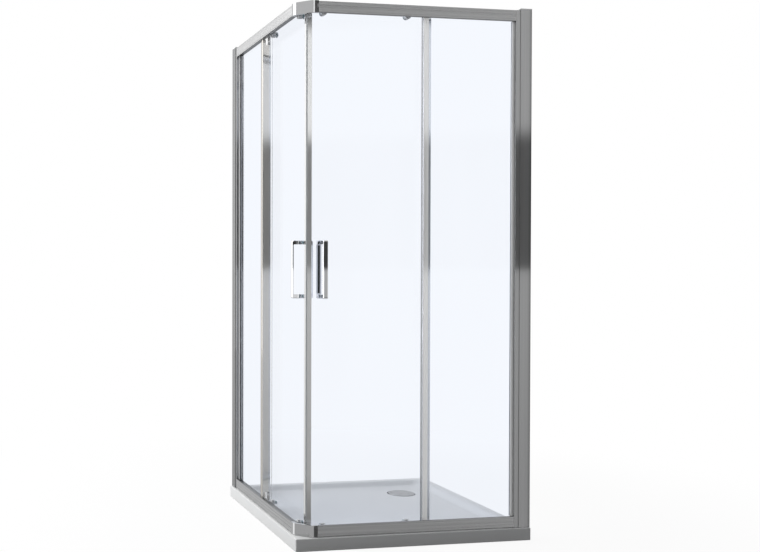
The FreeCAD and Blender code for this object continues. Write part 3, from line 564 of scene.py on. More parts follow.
def arc(centre, radius, start, end, steps):
    """Points on an arc, in degrees."""
    turns = [math.radians(start + (end - start) * step / steps) for step in range(steps + 1)]
    return [(centre[0] + radius * math.cos(t), centre[1] + radius * math.sin(t)) for t in turns]


def moved(b, verts, way):
    bmesh.ops.translate(b, verts=verts, vec=way)


def open_edges(b):
    return [edge for edge in b.edges if edge.is_boundary]


def sunk(b, face, rim, depth):
    """Fills the ring between an open rim and a face, and sinks the face along -Y."""
    bmesh.ops.triangle_fill(b, use_beauty=True, edges=rim + list(face.edges))
    made = bmesh.ops.extrude_face_region(b, geom=[face])["geom"]
    moved(b, corners(made), (0, -depth, 0))
    bmesh.ops.delete(b, geom=[face], context="FACES")


def wheel_middle(place):
    """Where a top wheel of the right door stands along its rail."""
    low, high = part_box("right_top_wheel_" + place)
    return (low.x + high.x) / 2


def for_side(b, side):
    """Leaves a right-hand shape as it is and mirrors it for the left."""
    if side == "left":
        bmesh.ops.transform(b, matrix=SWAP_SIDES, verts=b.verts)


# Sizes and colours


class EnclosureTray(bpy.types.PropertyGroup):
    rim_entry: FloatProperty(
        name="Entry rim", description="Width of the rim under the rails", default=0.072, unit="LENGTH"
    )
    rim_wall: FloatProperty(
        name="Wall rim", description="Width of the rim along the walls", default=0.028, unit="LENGTH"
    )
    basin_depth: FloatProperty(
        name="Basin depth", description="Rim down to the edge of the floor", default=0.017, unit="LENGTH"
    )
    basin_slope: FloatProperty(
        name="Basin slope", description="Run of the sloping side", default=0.045, unit="LENGTH"
    )
    basin_corner: FloatProperty(
        name="Basin corner", description="Radius of the basin's corners", default=0.034, unit="LENGTH"
    )
    floor_fall: FloatProperty(
        name="Floor fall", description="Fall of the floor to the drain", default=0.004, unit="LENGTH"
    )
    dish_side: FloatProperty(
        name="Dish", description="Level square around the drain", default=0.150, unit="LENGTH"
    )
    recess_play: FloatProperty(
        name="Recess play", description="Recess around the drain cover", default=0.003, unit="LENGTH"
    )
    recess_depth: FloatProperty(
        name="Recess depth", description="Depth of the recess for the cover", default=0.009, unit="LENGTH"
    )
    drain_radius: FloatProperty(
        name="Drain radius", description="Bore for the waste fitting", default=0.045, unit="LENGTH"
    )
    edge_radius: FloatProperty(
        name="Edge radius", description="Rounding of the rim's outer edge", default=0.0025, unit="LENGTH"
    )
    corner_radius: FloatProperty(
        name="Corner radius", description="Upright corners of the tray", default=0.004, unit="LENGTH"
    )
    loop_segments: IntProperty(
        name="Corner steps", description="Facets in each rounded corner", default=8, min=2
    )
    colour: FloatVectorProperty(
        name="Acrylic", description="Colour of the tray", default=(0.77, 0.775, 0.775), subtype="COLOR"
    )
    cover_edge: FloatProperty(
        name="Cover edge", description="Thickness of the drain cover's edge", default=0.003, unit="LENGTH"
    )
    cover_dome: FloatProperty(
        name="Cover dome", description="Rise of the drain cover above its edge", default=0.002, unit="LENGTH"
    )
    foot_radius: FloatProperty(
        name="Cover foot", description="Radius of a foot under the cover", default=0.0035, unit="LENGTH"
    )
    foot_in: FloatProperty(
        name="Foot inset", description="Middle of a foot from the cover's edge", default=0.0045, unit="LENGTH"
    )


class EnclosureMetal(bpy.types.PropertyGroup):
    rail_colour: FloatVectorProperty(
        name="Rails", description="Satin anodised rails", default=(0.4, 0.4, 0.4), subtype="COLOR"
    )
    # Painted light: the faces of the rails that look into the shower take this pale colour, so they read
    # bright through the glass.
    rail_inner_painted_light: FloatVectorProperty(
        name="Rail insides",
        description="Rails on the side of the shower",
        default=(0.95, 0.95, 0.95),
        subtype="COLOR",
    )
    rail_roughness: FloatProperty(
        name="Rail roughness", description="Dullness of the rails", default=0.3, subtype="FACTOR"
    )
    rail_haze: FloatProperty(
        name="Rail haze", description="Share of dull reflection on the rails", default=0.2, subtype="FACTOR"
    )
    rail_streak: FloatProperty(
        name="Rail lines", description="Contrast of the lines along the rails", default=0.15, subtype="FACTOR"
    )
    # Painted shade: the level faces of the rails, top and underside, take a darker colour.
    rail_level_painted_shade: FloatProperty(
        name="Rail edges",
        description="How much darker the level faces of the rails are",
        default=0.8,
        subtype="FACTOR",
    )
    upright_colour: FloatVectorProperty(
        name="Uprights", description="Wall profiles", default=(0.34, 0.34, 0.34), subtype="COLOR"
    )
    upright_haze: FloatProperty(
        name="Upright haze",
        description="Share of dull reflection on the wall profiles",
        default=0.37,
        subtype="FACTOR",
    )
    upright_streak: FloatProperty(
        name="Upright lines",
        description="Contrast of the lines along the uprights",
        default=0.05,
        subtype="FACTOR",
    )
    bright_colour: FloatVectorProperty(
        name="Glass profiles",
        description="Bright profiles on the glass",
        default=(0.82, 0.82, 0.815),
        subtype="COLOR",
    )
    bright_haze: FloatProperty(
        name="Glass profile haze",
        description="Share of dull reflection on those profiles",
        default=0.35,
        subtype="FACTOR",
    )
    satin_colour: FloatVectorProperty(
        name="Satin profile",
        description="Edge profile of the right panel",
        default=(0.84, 0.84, 0.835),
        subtype="COLOR",
    )
    satin_haze: FloatProperty(
        name="Satin haze",
        description="Share of dull reflection on that profile",
        default=0.75,
        subtype="FACTOR",
    )
    warm_colour: FloatVectorProperty(
        name="Warm profile",
        description="Edge profile of the left panel",
        default=(0.79, 0.755, 0.7),
        subtype="COLOR",
    )
    # Painted shade: the faces of the wall profiles that look to the key light take a darker colour against
    # that light.
    wall_left_painted_shade: FloatProperty(
        name="Wall profiles",
        description="How much darker the faces are that look to the key light",
        default=0.45,
        subtype="FACTOR",
    )
    # Painted shade: a darker band along the wall edge of the wall profiles stands for the shading of a
    # rounded edge.
    wall_edge_painted_shade: FloatProperty(
        name="Wall edge",
        description="How much darker the rounded edge at the wall is",
        default=0.5,
        subtype="FACTOR",
    )
    wall_shade_reach: FloatProperty(
        name="Wall rounding", description="Reach of that edge from the wall", default=0.016, unit="LENGTH"
    )
    # Painted shade: the faces of the edge profiles that look to the key light take a darker colour against
    # that light.
    edge_left_painted_shade: FloatProperty(
        name="Edge profiles",
        description="How much darker the faces are that look to the key light",
        default=0.6,
        subtype="FACTOR",
    )
    # Painted reflection: a dark strip on the handles stands for the dark reflection in their faces at the
    # glass.
    painted_reflection_colour: FloatVectorProperty(
        name="Grip", description="Dark strip on the handles", default=(0.006, 0.006, 0.006), subtype="COLOR"
    )
    painted_reflection_wide: FloatProperty(
        name="Grip width", description="Width of the dark strip", default=0.008, unit="LENGTH"
    )
    painted_reflection_in: FloatProperty(
        name="Grip ends", description="End of the handle to the dark strip", default=0.018, unit="LENGTH"
    )
    polish: FloatProperty(
        name="Polish",
        description="Roughness of the bright reflection on the upright profiles",
        default=0.045,
        subtype="FACTOR",
    )
    chrome_colour: FloatVectorProperty(
        name="Chrome", description="Plated pieces", default=(0.88, 0.88, 0.89), subtype="COLOR"
    )
    chrome_roughness: FloatProperty(
        name="Chrome roughness", description="Dullness of the plated pieces", default=0.02, subtype="FACTOR"
    )
    connector_colour: FloatVectorProperty(
        name="Connectors", description="Corner connectors", default=(0.43, 0.43, 0.43), subtype="COLOR"
    )
    connector_roughness: FloatProperty(
        name="Connector roughness",
        description="Dullness of the corner connectors",
        default=0.09,
        subtype="FACTOR",
    )
    cover_colour: FloatVectorProperty(
        name="Cover", description="Plating of the drain cover", default=(0.38, 0.38, 0.38), subtype="COLOR"
    )
    cover_roughness: FloatProperty(
        name="Cover roughness", description="Dullness of the drain cover", default=0.35, subtype="FACTOR"
    )
    steel_colour: FloatVectorProperty(
        name="Steel", description="Screws, axles and springs", default=(0.62, 0.62, 0.63), subtype="COLOR"
    )


class EnclosureClear(bpy.types.PropertyGroup):
    glass_tint: FloatVectorProperty(
        name="Glass",
        description="Light that one glass face lets through",
        default=(0.957, 0.972, 0.999),
        subtype="COLOR",
    )
    glass_edge: FloatVectorProperty(
        name="Glass edge",
        description="Colour of the ground edges",
        default=(0.42, 0.60, 0.58),
        subtype="COLOR",
    )
    seal_colour: FloatVectorProperty(
        name="Seals", description="Magnetic seals of the doors", default=(0.84, 0.85, 0.85), subtype="COLOR"
    )
    gasket_colour: FloatVectorProperty(
        name="Gaskets", description="Gaskets and sill seals", default=(0.9, 0.9, 0.9), subtype="COLOR"
    )
    seal_clearness: FloatProperty(
        name="Seal clearness", description="Light that shows through a seal", default=0.65, subtype="FACTOR"
    )


class EnclosureFittings(bpy.types.PropertyGroup):
    plastic_colour: FloatVectorProperty(
        name="Plastic",
        description="Carriers, housings, buttons and caps",
        default=(0.58, 0.585, 0.59),
        subtype="COLOR",
    )
    # Painted light: a paler colour for the flat outer faces of those pieces.
    plastic_painted_light: FloatVectorProperty(
        name="Plastic faces",
        description="Flat outer faces of those pieces",
        default=(0.74, 0.745, 0.75),
        subtype="COLOR",
    )
    nylon_colour: FloatVectorProperty(
        name="Nylon", description="Wheels", default=(0.80, 0.80, 0.78), subtype="COLOR"
    )
    rubber_colour: FloatVectorProperty(
        name="Rubber", description="Door stops", default=(0.05, 0.05, 0.05), subtype="COLOR"
    )
    cap_radius: FloatProperty(
        name="Top cap", description="Radius of the caps that hold the carriers", default=0.0115, unit="LENGTH"
    )
    low_cap_radius: FloatProperty(
        name="Low cap",
        description="Radius of the caps that hold the guide housings",
        default=0.008,
        unit="LENGTH",
    )
    cap_tall: FloatProperty(
        name="Cap height", description="Caps above the glass", default=0.0045, unit="LENGTH"
    )
    cap_edge: FloatProperty(
        name="Cap edge", description="Rounding of the caps", default=0.0015, unit="LENGTH"
    )
    socket_radius: FloatProperty(
        name="Socket", description="Six-sided socket in each cap", default=0.004, unit="LENGTH"
    )
    socket_depth: FloatProperty(
        name="Socket depth", description="Depth of that socket", default=0.0025, unit="LENGTH"
    )
    top_stud: FloatProperty(
        name="Top stud", description="Radius of the studs under the top caps", default=0.005, unit="LENGTH"
    )
    low_stud: FloatProperty(
        name="Low stud", description="Radius of the studs under the low caps", default=0.003, unit="LENGTH"
    )
    low_stud_bite: FloatProperty(
        name="Low stud bite",
        description="Those studs beyond the outer side of the glass",
        default=0.0035,
        unit="LENGTH",
    )
    screw_head: FloatProperty(
        name="Screw head", description="Radius of a frame screw's head", default=0.00375, unit="LENGTH"
    )
    screw_head_tall: FloatProperty(
        name="Screw head height", description="Height of that head", default=0.0024, unit="LENGTH"
    )
    screw_shank: FloatProperty(
        name="Screw shank", description="Radius of a frame screw's shank", default=0.002, unit="LENGTH"
    )
    screw_count: IntProperty(
        name="Screws", description="Frame screws on each side", default=3, min=2
    )
    cross_width: FloatProperty(
        name="Cross", description="Width of the cross recess's arms", default=0.0011, unit="LENGTH"
    )
    cross_reach: FloatProperty(
        name="Cross reach", description="Length of an arm from the middle", default=0.0021, unit="LENGTH"
    )
    spring_span: FloatProperty(
        name="Spring", description="Length of the strip spring under a button", default=0.016, unit="LENGTH"
    )
    spring_toe: FloatProperty(
        name="Spring toes", description="Flat toes of that spring", default=0.002, unit="LENGTH"
    )
    spring_thick: FloatProperty(
        name="Spring strip", description="Thickness of its strip", default=0.0005, unit="LENGTH"
    )
    spring_keep: FloatProperty(
        name="Pressed spring",
        description="Share of its height left below a pressed button",
        default=0.33,
        subtype="FACTOR",
    )
    turn_steps: IntProperty(
        name="Turned facets", description="Facets around small turned pieces", default=48, min=12
    )


class EnclosureStudio(bpy.types.PropertyGroup):
    camera_place: FloatVectorProperty(
        name="Camera",
        description="Where the camera stands",
        default=(-1.6105, -3.9384, 1.0197),
        subtype="XYZ",
        unit="LENGTH",
    )
    camera_yaw: FloatProperty(
        name="Yaw", description="Camera turned right of +Y", default=math.radians(10.387), subtype="ANGLE"
    )
    camera_pitch: FloatProperty(
        name="Pitch", description="Camera above level", default=math.radians(-0.7595), subtype="ANGLE"
    )
    camera_lens: FloatProperty(
        name="Lens", description="Focal length on a 36 mm sensor", default=49.24, unit="CAMERA"
    )
    camera_shift: FloatProperty(
        name="Shift", description="Sideways shift, in image widths", default=0.3026
    )
    floor_radius: FloatProperty(
        name="Floor", description="Radius of the floor", default=14.0, unit="LENGTH"
    )
    floor_gap: FloatProperty(
        name="Floor gap", description="Floor below the tray", default=0.0005, unit="LENGTH"
    )
    floor_shade: FloatProperty(
        name="Floor shade",
        description="Brightness of the floor where it lights the piece",
        default=0.2,
        subtype="FACTOR",
    )
    floor_mirrored: FloatProperty(
        name="Floor mirrored",
        description="Brightness of the floor in reflections",
        default=0.92,
        subtype="FACTOR",
    )
    floor_glint: FloatProperty(
        name="Floor glint", description="Brightness that the floor below the key light adds", default=1.1
    )
    front_dim: FloatProperty(
        name="Front", description="Light from the front of the studio", default=0.035, subtype="FACTOR"
    )
    top_dim: FloatProperty(
        name="Top", description="Light taken away straight above", default=0.45, subtype="FACTOR"
    )
    band_top: FloatProperty(
        name="Dark band",
        description="Height of the dark band that reflects in front, as a sine",
        default=0.116,
    )
    band_dark: FloatProperty(
        name="Band darkness", description="Light that the band takes away", default=0.95, subtype="FACTOR"
    )
    strip_glow: FloatProperty(
        name="Strip light", description="Brightness of an upright strip light in reflections", default=2.5
    )
    key_power: FloatProperty(
        name="Key light", description="Power of the soft light from the left", default=128.0, unit="POWER"
    )
    key_size: FloatProperty(
        name="Key size", description="Side of that light", default=4.0, unit="LENGTH"
    )


def chosen():
    """The sizes and colours that the user has set."""
    return bpy.context.scene.enclosure


class EnclosureSettings(bpy.types.PropertyGroup):
    tray: PointerProperty(type=EnclosureTray, name="Tray", description="Sizes and colour of the tray")
    metal: PointerProperty(type=EnclosureMetal, name="Metal", description="Metal finishes")
    clear: PointerProperty(type=EnclosureClear, name="Glass and seals", description="Clear finishes")
    fittings: PointerProperty(type=EnclosureFittings, name="Fittings", description="Small pieces")
    studio: PointerProperty(type=EnclosureStudio, name="Studio", description="Camera, floor and light")


# Pieces


class ENCLOSURE_OT_tray(bpy.types.Operator):
    """Moulded tray with a soft-edged basin that falls to the drain"""

    bl_idname = "enclosure.tray"
    bl_label = "Tray"

    def execute(self, context):
        size = chosen().tray
        low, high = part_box("shower_tray")
        cover_low, cover_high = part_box("drain_cover")
        drain = ((cover_low + cover_high) / 2).to_2d()
        rim = high.z
        steps = size.loop_segments
        b = bmesh.new()

        def inset(near, far):
            return (low.x + near, low.y + near), (high.x - far, high.y - far)

        def about_drain(reach):
            return (drain.x - reach, drain.y - reach), (drain.x + reach, drain.y + reach)

        edge = size.edge_radius
        edge_steps = 4
        underside = rounded_loop(b, *inset(0, 0), low.z, size.corner_radius, steps)
        rim_loop = underside
        for run, z in arc((edge, rim - edge), edge, 180, 90, edge_steps):
            rim_loop = carried(b, rim_loop, *inset(run, run), z)

        mouth = rounded_loop(b, *inset(size.rim_entry, size.rim_wall), rim, size.basin_corner, steps)
        bmesh.ops.triangle_fill(b, use_beauty=True, edges=rim_loop + mouth)
        basin = mouth
        slope_steps = 10
        for step in range(1, slope_steps + 1):
            share = step / slope_steps
            run = size.basin_slope * share
            fall = size.basin_depth * share * share * (3 - 2 * share)
            basin = carried(b, basin, *inset(size.rim_entry + run, size.rim_wall + run), rim - fall)
        floor = rim - size.basin_depth - size.floor_fall
        dish = carried(b, basin, *about_drain(size.dish_side / 2), floor)

        recess = cover_high.x - drain.x + size.recess_play
        lip = edge / 2
        ledge = floor - size.recess_depth
        hole_facets = 8 * steps
        hole = round_loop(b, drain, floor, recess + lip, hole_facets)
        bmesh.ops.triangle_fill(b, use_beauty=True, edges=dish + hole)
        for radius, z in (
            (recess, floor - lip),
            (recess, ledge),
            (size.drain_radius, ledge),
            (size.drain_radius, low.z),
        ):
            hole = carried(b, hole, *about_drain(radius), z)
        bmesh.ops.triangle_fill(b, use_beauty=True, edges=hole + underside)
        acrylic = finish("sanitary_acrylic", sanitary_acrylic, tuple(size.colour))
        tray = new_piece("moulded_tray", b, "frame", acrylic, smooth_degrees=28)
        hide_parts("shower_tray")
        return {"FINISHED"}


class ENCLOSURE_OT_drain_cover(bpy.types.Operator):
    """Domed chrome cover on four feet, loose in its recess"""

    bl_idname = "enclosure.drain_cover"
    bl_label = "Drain cover"

    def execute(self, context):
        size = chosen().tray
        metal = chosen().metal
        low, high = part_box("drain_cover")
        radius = (high.x - low.x) / 2
        rise = size.cover_dome
        plate_low = high.z - size.cover_edge - rise
        b = bmesh.new()
        edge = size.cover_edge / 2
        dome_steps = 10
        dome = []
        for step in range(dome_steps + 1):
            share = step / dome_steps
            dome.append(((radius - edge) * share, high.z - rise * share * share))
        edge_steps = 6
        rounded_edge = arc((radius - edge, plate_low + edge), edge, 90, -90, edge_steps)
        outline = dome[:-1] + rounded_edge + [(0, plate_low)]
        cover_facets = 64
        spun(b, outline, cover_facets)
        upright = Matrix.Rotation(math.radians(90), 3, "X")
        bmesh.ops.rotate(b, verts=b.verts, cent=(0, 0, 0), matrix=upright)
        reach = radius - size.foot_in
        feet = 4
        foot_facets = 20
        for turn in range(feet):
            angle = turn * math.tau / feet
            spot = (reach * math.cos(angle), reach * math.sin(angle), (low.z + plate_low) / 2)
            bmesh.ops.create_cone(
                b,
                cap_ends=True,
                segments=foot_facets,
                radius1=size.foot_radius,
                radius2=size.foot_radius,
                depth=plate_low - low.z,
                matrix=Matrix.Translation(spot),
            )
        middle = (low + high) / 2
        moved(b, b.verts, (middle.x, middle.y, 0))
        chrome = finish("cover_chrome", mirror_chrome, tuple(metal.cover_colour), metal.cover_roughness)
        cover = new_piece("domed_drain_cover", b, "drain_cover", chrome)
        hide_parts("drain_cover")
        return {"FINISHED"}


class ENCLOSURE_OT_frame(bpy.types.Operator):
    """Aluminium rails and profiles, with lines from the die along each of them"""

    bl_idname = "enclosure.frame"
    bl_label = "Rails and profiles"

    def execute(self, context):
        metal = chosen().metal
        rail = (tuple(metal.rail_colour), metal.rail_roughness, metal.rail_haze, metal.rail_streak)
        wall = (tuple(metal.upright_colour), metal.polish, metal.upright_haze, metal.upright_streak)
        door = (tuple(metal.bright_colour), metal.polish, metal.bright_haze, metal.upright_streak)
        edge = {
            "right": (tuple(metal.satin_colour), metal.polish, metal.satin_haze, metal.upright_streak),
            "left": (tuple(metal.warm_colour), metal.polish, metal.bright_haze, metal.upright_streak),
        }
        for side in SIDES:
            run = RUN_AXIS[side]
            room_wall = CAD_BOX[1][run]
            rails = finish(
                side + "_rail_aluminium",
                drawn_aluminium,
                run,
                *rail,
                # Painted shade on the level faces of the rails.
                dark=(UPRIGHT, metal.rail_level_painted_shade),
                # Painted light on the faces that look into the shower.
                inner=(PANE_AXIS[side], tuple(metal.rail_inner_painted_light)),
            )
            wear(rails, side + "_top_rail", side + "_bottom_rail")
            walls = finish(
                side + "_wall_aluminium",
                drawn_aluminium,
                UPRIGHT,
                *wall,
                # Painted shade on the faces that look to the key light, and along the wall edge.
                dark=(LEFTWARD, metal.wall_left_painted_shade),
                rounded=(run, room_wall - metal.wall_shade_reach, room_wall, metal.wall_edge_painted_shade),
            )
            wear(walls, side + "_wall_profile", side + "_adjusting_profile")
            pane = self.pane(side, "_door_glass")
            doors = finish(side + "_door_aluminium", drawn_aluminium, UPRIGHT, *door, pane=pane)
            wear(doors, side + "_leading_profile", side + "_trailing_profile")
            edges = finish(
                side + "_edge_aluminium",
                drawn_aluminium,
                UPRIGHT,
                *edge[side],
                # Painted shade on the faces that look to the key light.
                dark=(LEFTWARD, metal.edge_left_painted_shade),
                pane=self.pane(side, "_fixed_glass"),
            )
            wear(edges, side + "_fixed_edge_profile")
        return {"FINISHED"}

    @staticmethod
    def pane(side, glass):
        """The axis across a pane, and its two faces on that axis."""
        across = PANE_AXIS[side]
        low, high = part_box(side + glass)
        return across, low[across], high[across]


class ENCLOSURE_OT_chrome(bpy.types.Operator):
    """Plated corner connectors and handles"""

    bl_idname = "enclosure.chrome"
    bl_label = "Connectors and handles"

    def execute(self, context):
        metal = chosen().metal
        chrome = (tuple(metal.chrome_colour), metal.chrome_roughness)
        # Painted reflection: colour, width and end inset of the dark strip on the handles.
        painted_reflection = (tuple(metal.painted_reflection_colour), metal.painted_reflection_wide, metal.painted_reflection_in)
        plated = (tuple(metal.connector_colour), metal.connector_roughness)
        connectors = finish("connector_chrome", mirror_chrome, *plated)
        wear(connectors, "corner_connector_top", "corner_connector_bottom")
        for side in SIDES:
            for half, towards_glass in (("outer", 1), ("inner", -1)):
                name = side + "_handle_" + half
                turned = (RUN_AXIS[side], PANE_AXIS[side], towards_glass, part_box(name))
                wear(finish(name + "_chrome", chrome_with_painted_reflection, *chrome, *turned, *painted_reflection), name)
        return {"FINISHED"}


class ENCLOSURE_OT_glass(bpy.types.Operator):
    """Clear glass in the doors and the fixed panels"""

    bl_idname = "enclosure.glass"
    bl_label = "Glass"

    def execute(self, context):
        clear = chosen().clear
        for side in SIDES:
            colours = (tuple(clear.glass_tint), tuple(clear.glass_edge))
            glass = finish(side + "_clear_glass", clear_pane, PANE_AXIS[side], *colours)
            wear(glass, side + "_door_glass", side + "_fixed_glass")
        return {"FINISHED"}


class ENCLOSURE_OT_seals(bpy.types.Operator):
    """Soft seals, gaskets and door stops"""

    bl_idname = "enclosure.seals"
    bl_label = "Seals and stops"

    def execute(self, context):
        clear = chosen().clear
        seal = finish("soft_seal", soft_seal, tuple(clear.seal_colour), clear.seal_clearness)
        gasket = finish("silver_gasket", silver_gasket, tuple(clear.gasket_colour))
        rubber = finish("stop_rubber", matt_rubber, tuple(chosen().fittings.rubber_colour))
        wear(gasket, "sill_seals")
        wear(rubber, "door_stops")
        for side in SIDES:
            wear(gasket, side + "_glazing_gasket")
            wear(seal, side + "_magnetic_seal")
        return {"FINISHED"}


class ENCLOSURE_OT_running_gear(bpy.types.Operator):
    """Carriers, housings, buttons, wheels and axles of the doors"""

    bl_idname = "enclosure.running_gear"
    bl_label = "Running gear"

    def execute(self, context):
        fittings = chosen().fittings
        colours = (tuple(fittings.plastic_colour), tuple(fittings.plastic_painted_light))
        nylon = finish("wheel_nylon", turned_nylon, tuple(fittings.nylon_colour))
        steel = finish("axle_steel", brushed_steel, tuple(chosen().metal.steel_colour))
        for side in SIDES:
            name = side + "_grey_plastic"
            plastic = finish(name, moulded_plastic, PANE_AXIS[side], *colours)
            wear(plastic, *(side + "_" + item for item in ("roller_carriers", "guide_housings", "wall_cap")))
            wear(steel, *(side + "_" + item for item in ("roller_axles", "handle_bolts")))
            for place in PLACES:
                wear(plastic, side + "_button_" + place)
                wear(nylon, side + "_top_wheel_" + place, side + "_guide_wheel_" + place)
        return {"FINISHED"}


class ENCLOSURE_OT_glass_caps(bpy.types.Operator):
    """Chrome caps with six-sided sockets that clamp the running gear to the glass"""

    bl_idname = "enclosure.glass_caps"
    bl_label = "Glass caps"

    def execute(self, context):
        size = chosen().fittings
        metal = chosen().metal
        chrome = finish("cap_chrome", mirror_chrome, tuple(metal.chrome_colour), metal.chrome_roughness)
        low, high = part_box("right_roller_caps")
        glass_low, glass_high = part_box("right_door_glass")
        low_end = glass_low.y - size.low_stud_bite
        levels = (
            (high.z - size.cap_radius, size.cap_radius, size.top_stud, low.y),
            (low.z + size.low_cap_radius, size.low_cap_radius, size.low_stud, low_end),
        )
        for side in SIDES:
            b = bmesh.new()
            for place in PLACES:
                for z, radius, stud, end in levels:
                    before = set(b.verts)
                    self.cap(b, size, radius, stud, glass_high.y - end)
                    new = [v for v in b.verts if v not in before]
                    moved(b, new, (wheel_middle(place), glass_high.y, z))
            for_side(b, side)
            caps = new_piece(side + "_socket_caps", b, side + "_door", chrome)
            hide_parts(side + "_roller_caps")
        return {"FINISHED"}

    def cap(self, b, size, radius, stud, stud_long):
        """One cap with its stud, glass at y = 0 and the socket facing +Y."""
        top = size.cap_tall
        edge = size.cap_edge
        edge_steps = 4
        around_socket = 1.5
        rounding = arc((radius - edge, top - edge), edge, 0, 90, edge_steps)
        outline = [(0, -stud_long), (stud, -stud_long), (stud, 0), (radius, 0)]
        outline += rounding + [(size.socket_radius * around_socket, top)]
        spun(b, outline, size.turn_steps)
        rim = open_edges(b)
        flat = Matrix.Translation((0, top, 0)) @ Matrix.Rotation(math.radians(-90), 4, "X")
        sides = 6
        wide = size.socket_radius
        socket = bmesh.ops.create_circle(b, cap_ends=True, radius=wide, segments=sides, matrix=flat)
        sunk(b, socket["verts"][0].link_faces[0], rim, size.socket_depth)


class ENCLOSURE_OT_springs(bpy.types.Operator):
    """Bowed steel strips below the release buttons"""

    bl_idname = "enclosure.springs"
    bl_label = "Button springs"

    def execute(self, context):
        size = chosen().fittings
        steel = finish("spring_steel", brushed_steel, tuple(chosen().metal.steel_colour))
        low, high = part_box("right_release_springs")
        for side in SIDES:
            for place in PLACES:
                foot = Vector((wheel_middle(place), low.y, low.z))
                b = bmesh.new()
                self.strip(b, size, high.z - low.z, high.y - low.y)
                moved(b, b.verts, foot)
                for_side(b, side)
                name = "%s_spring_%s" % (side, place)
                spring = new_piece(name, b, side + "_door", steel)
                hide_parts(side + "_release_springs")
                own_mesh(spring)
        return {"FINISHED"}

    def strip(self, b, size, tall, wide):
        """One strip, its toes on z = 0 and its bow up to the button."""
        half = size.spring_span / 2
        bow = half - size.spring_toe
        steps = 24
        under = [(-half, 0)]
        for step in range(steps + 1):
            x = bow * (2 * step / steps - 1)
            under.append((x, (tall - size.spring_thick) * math.cos(math.pi / 2 * x / bow) ** 2))
        under.append((half, 0))
        over = [(x, z + size.spring_thick) for x, z in reversed(under)]
        side = b.faces.new([b.verts.new((x, 0, z)) for x, z in under + over])
        made = bmesh.ops.extrude_face_region(b, geom=[side], use_keep_orig=True)["geom"]
        moved(b, corners(made), (0, wide, 0))


class ENCLOSURE_OT_frame_screws(bpy.types.Operator):
    """Round-headed screws with a cross recess, inside the wall profiles"""

    bl_idname = "enclosure.frame_screws"
    bl_label = "Frame screws"

    def execute(self, context):
        size = chosen().fittings
        steel = finish("screw_steel", brushed_steel, tuple(chosen().metal.steel_colour))
        low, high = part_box("frame_screws")
        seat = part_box("right_wall_profile")[1].y
        head = size.screw_head
        first = low.z + head
        last = high.z - head
        pitch = (last - first) / (size.screw_count - 1)
        b = bmesh.new()
        for number in range(size.screw_count):
            before = set(b.verts)
            self.screw(b, size, seat - low.y)
            new = [v for v in b.verts if v not in before]
            moved(b, new, (high.x - head, seat, first + pitch * number))
        twins = bmesh.ops.duplicate(b, geom=b.verts[:] + b.edges[:] + b.faces[:])["geom"]
        bmesh.ops.transform(b, matrix=SWAP_SIDES, verts=corners(twins))
        screws = new_piece("cross_head_screws", b, "frame", steel)
        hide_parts("frame_screws")
        return {"FINISHED"}

    def screw(self, b, size, length):
        """One screw, seat at y = 0 and head towards +Y."""
        top = size.screw_head_tall
        head = size.screw_head
        shank = size.screw_shank
        arm = size.cross_width / 2
        reach = size.cross_reach
        shoulder = (head, top * 0.35)
        crown = (head * 0.86, top * 0.75)
        around_cross = 1.25
        cross_depth = top * 0.6
        outline = [(0, -length), (shank, -length), (shank, 0), (head, 0), shoulder, crown]
        outline += [(reach * around_cross, top)]
        spun(b, outline, size.turn_steps)
        rim = open_edges(b)
        cross = []
        for turn in range(4):
            c = math.cos(turn * math.tau / 4)
            s = math.sin(turn * math.tau / 4)
            for x, z in ((reach, -arm), (reach, arm), (arm, arm)):
                cross.append(b.verts.new((x * c - z * s, top, x * s + z * c)))
        sunk(b, b.faces.new(cross), rim, cross_depth)


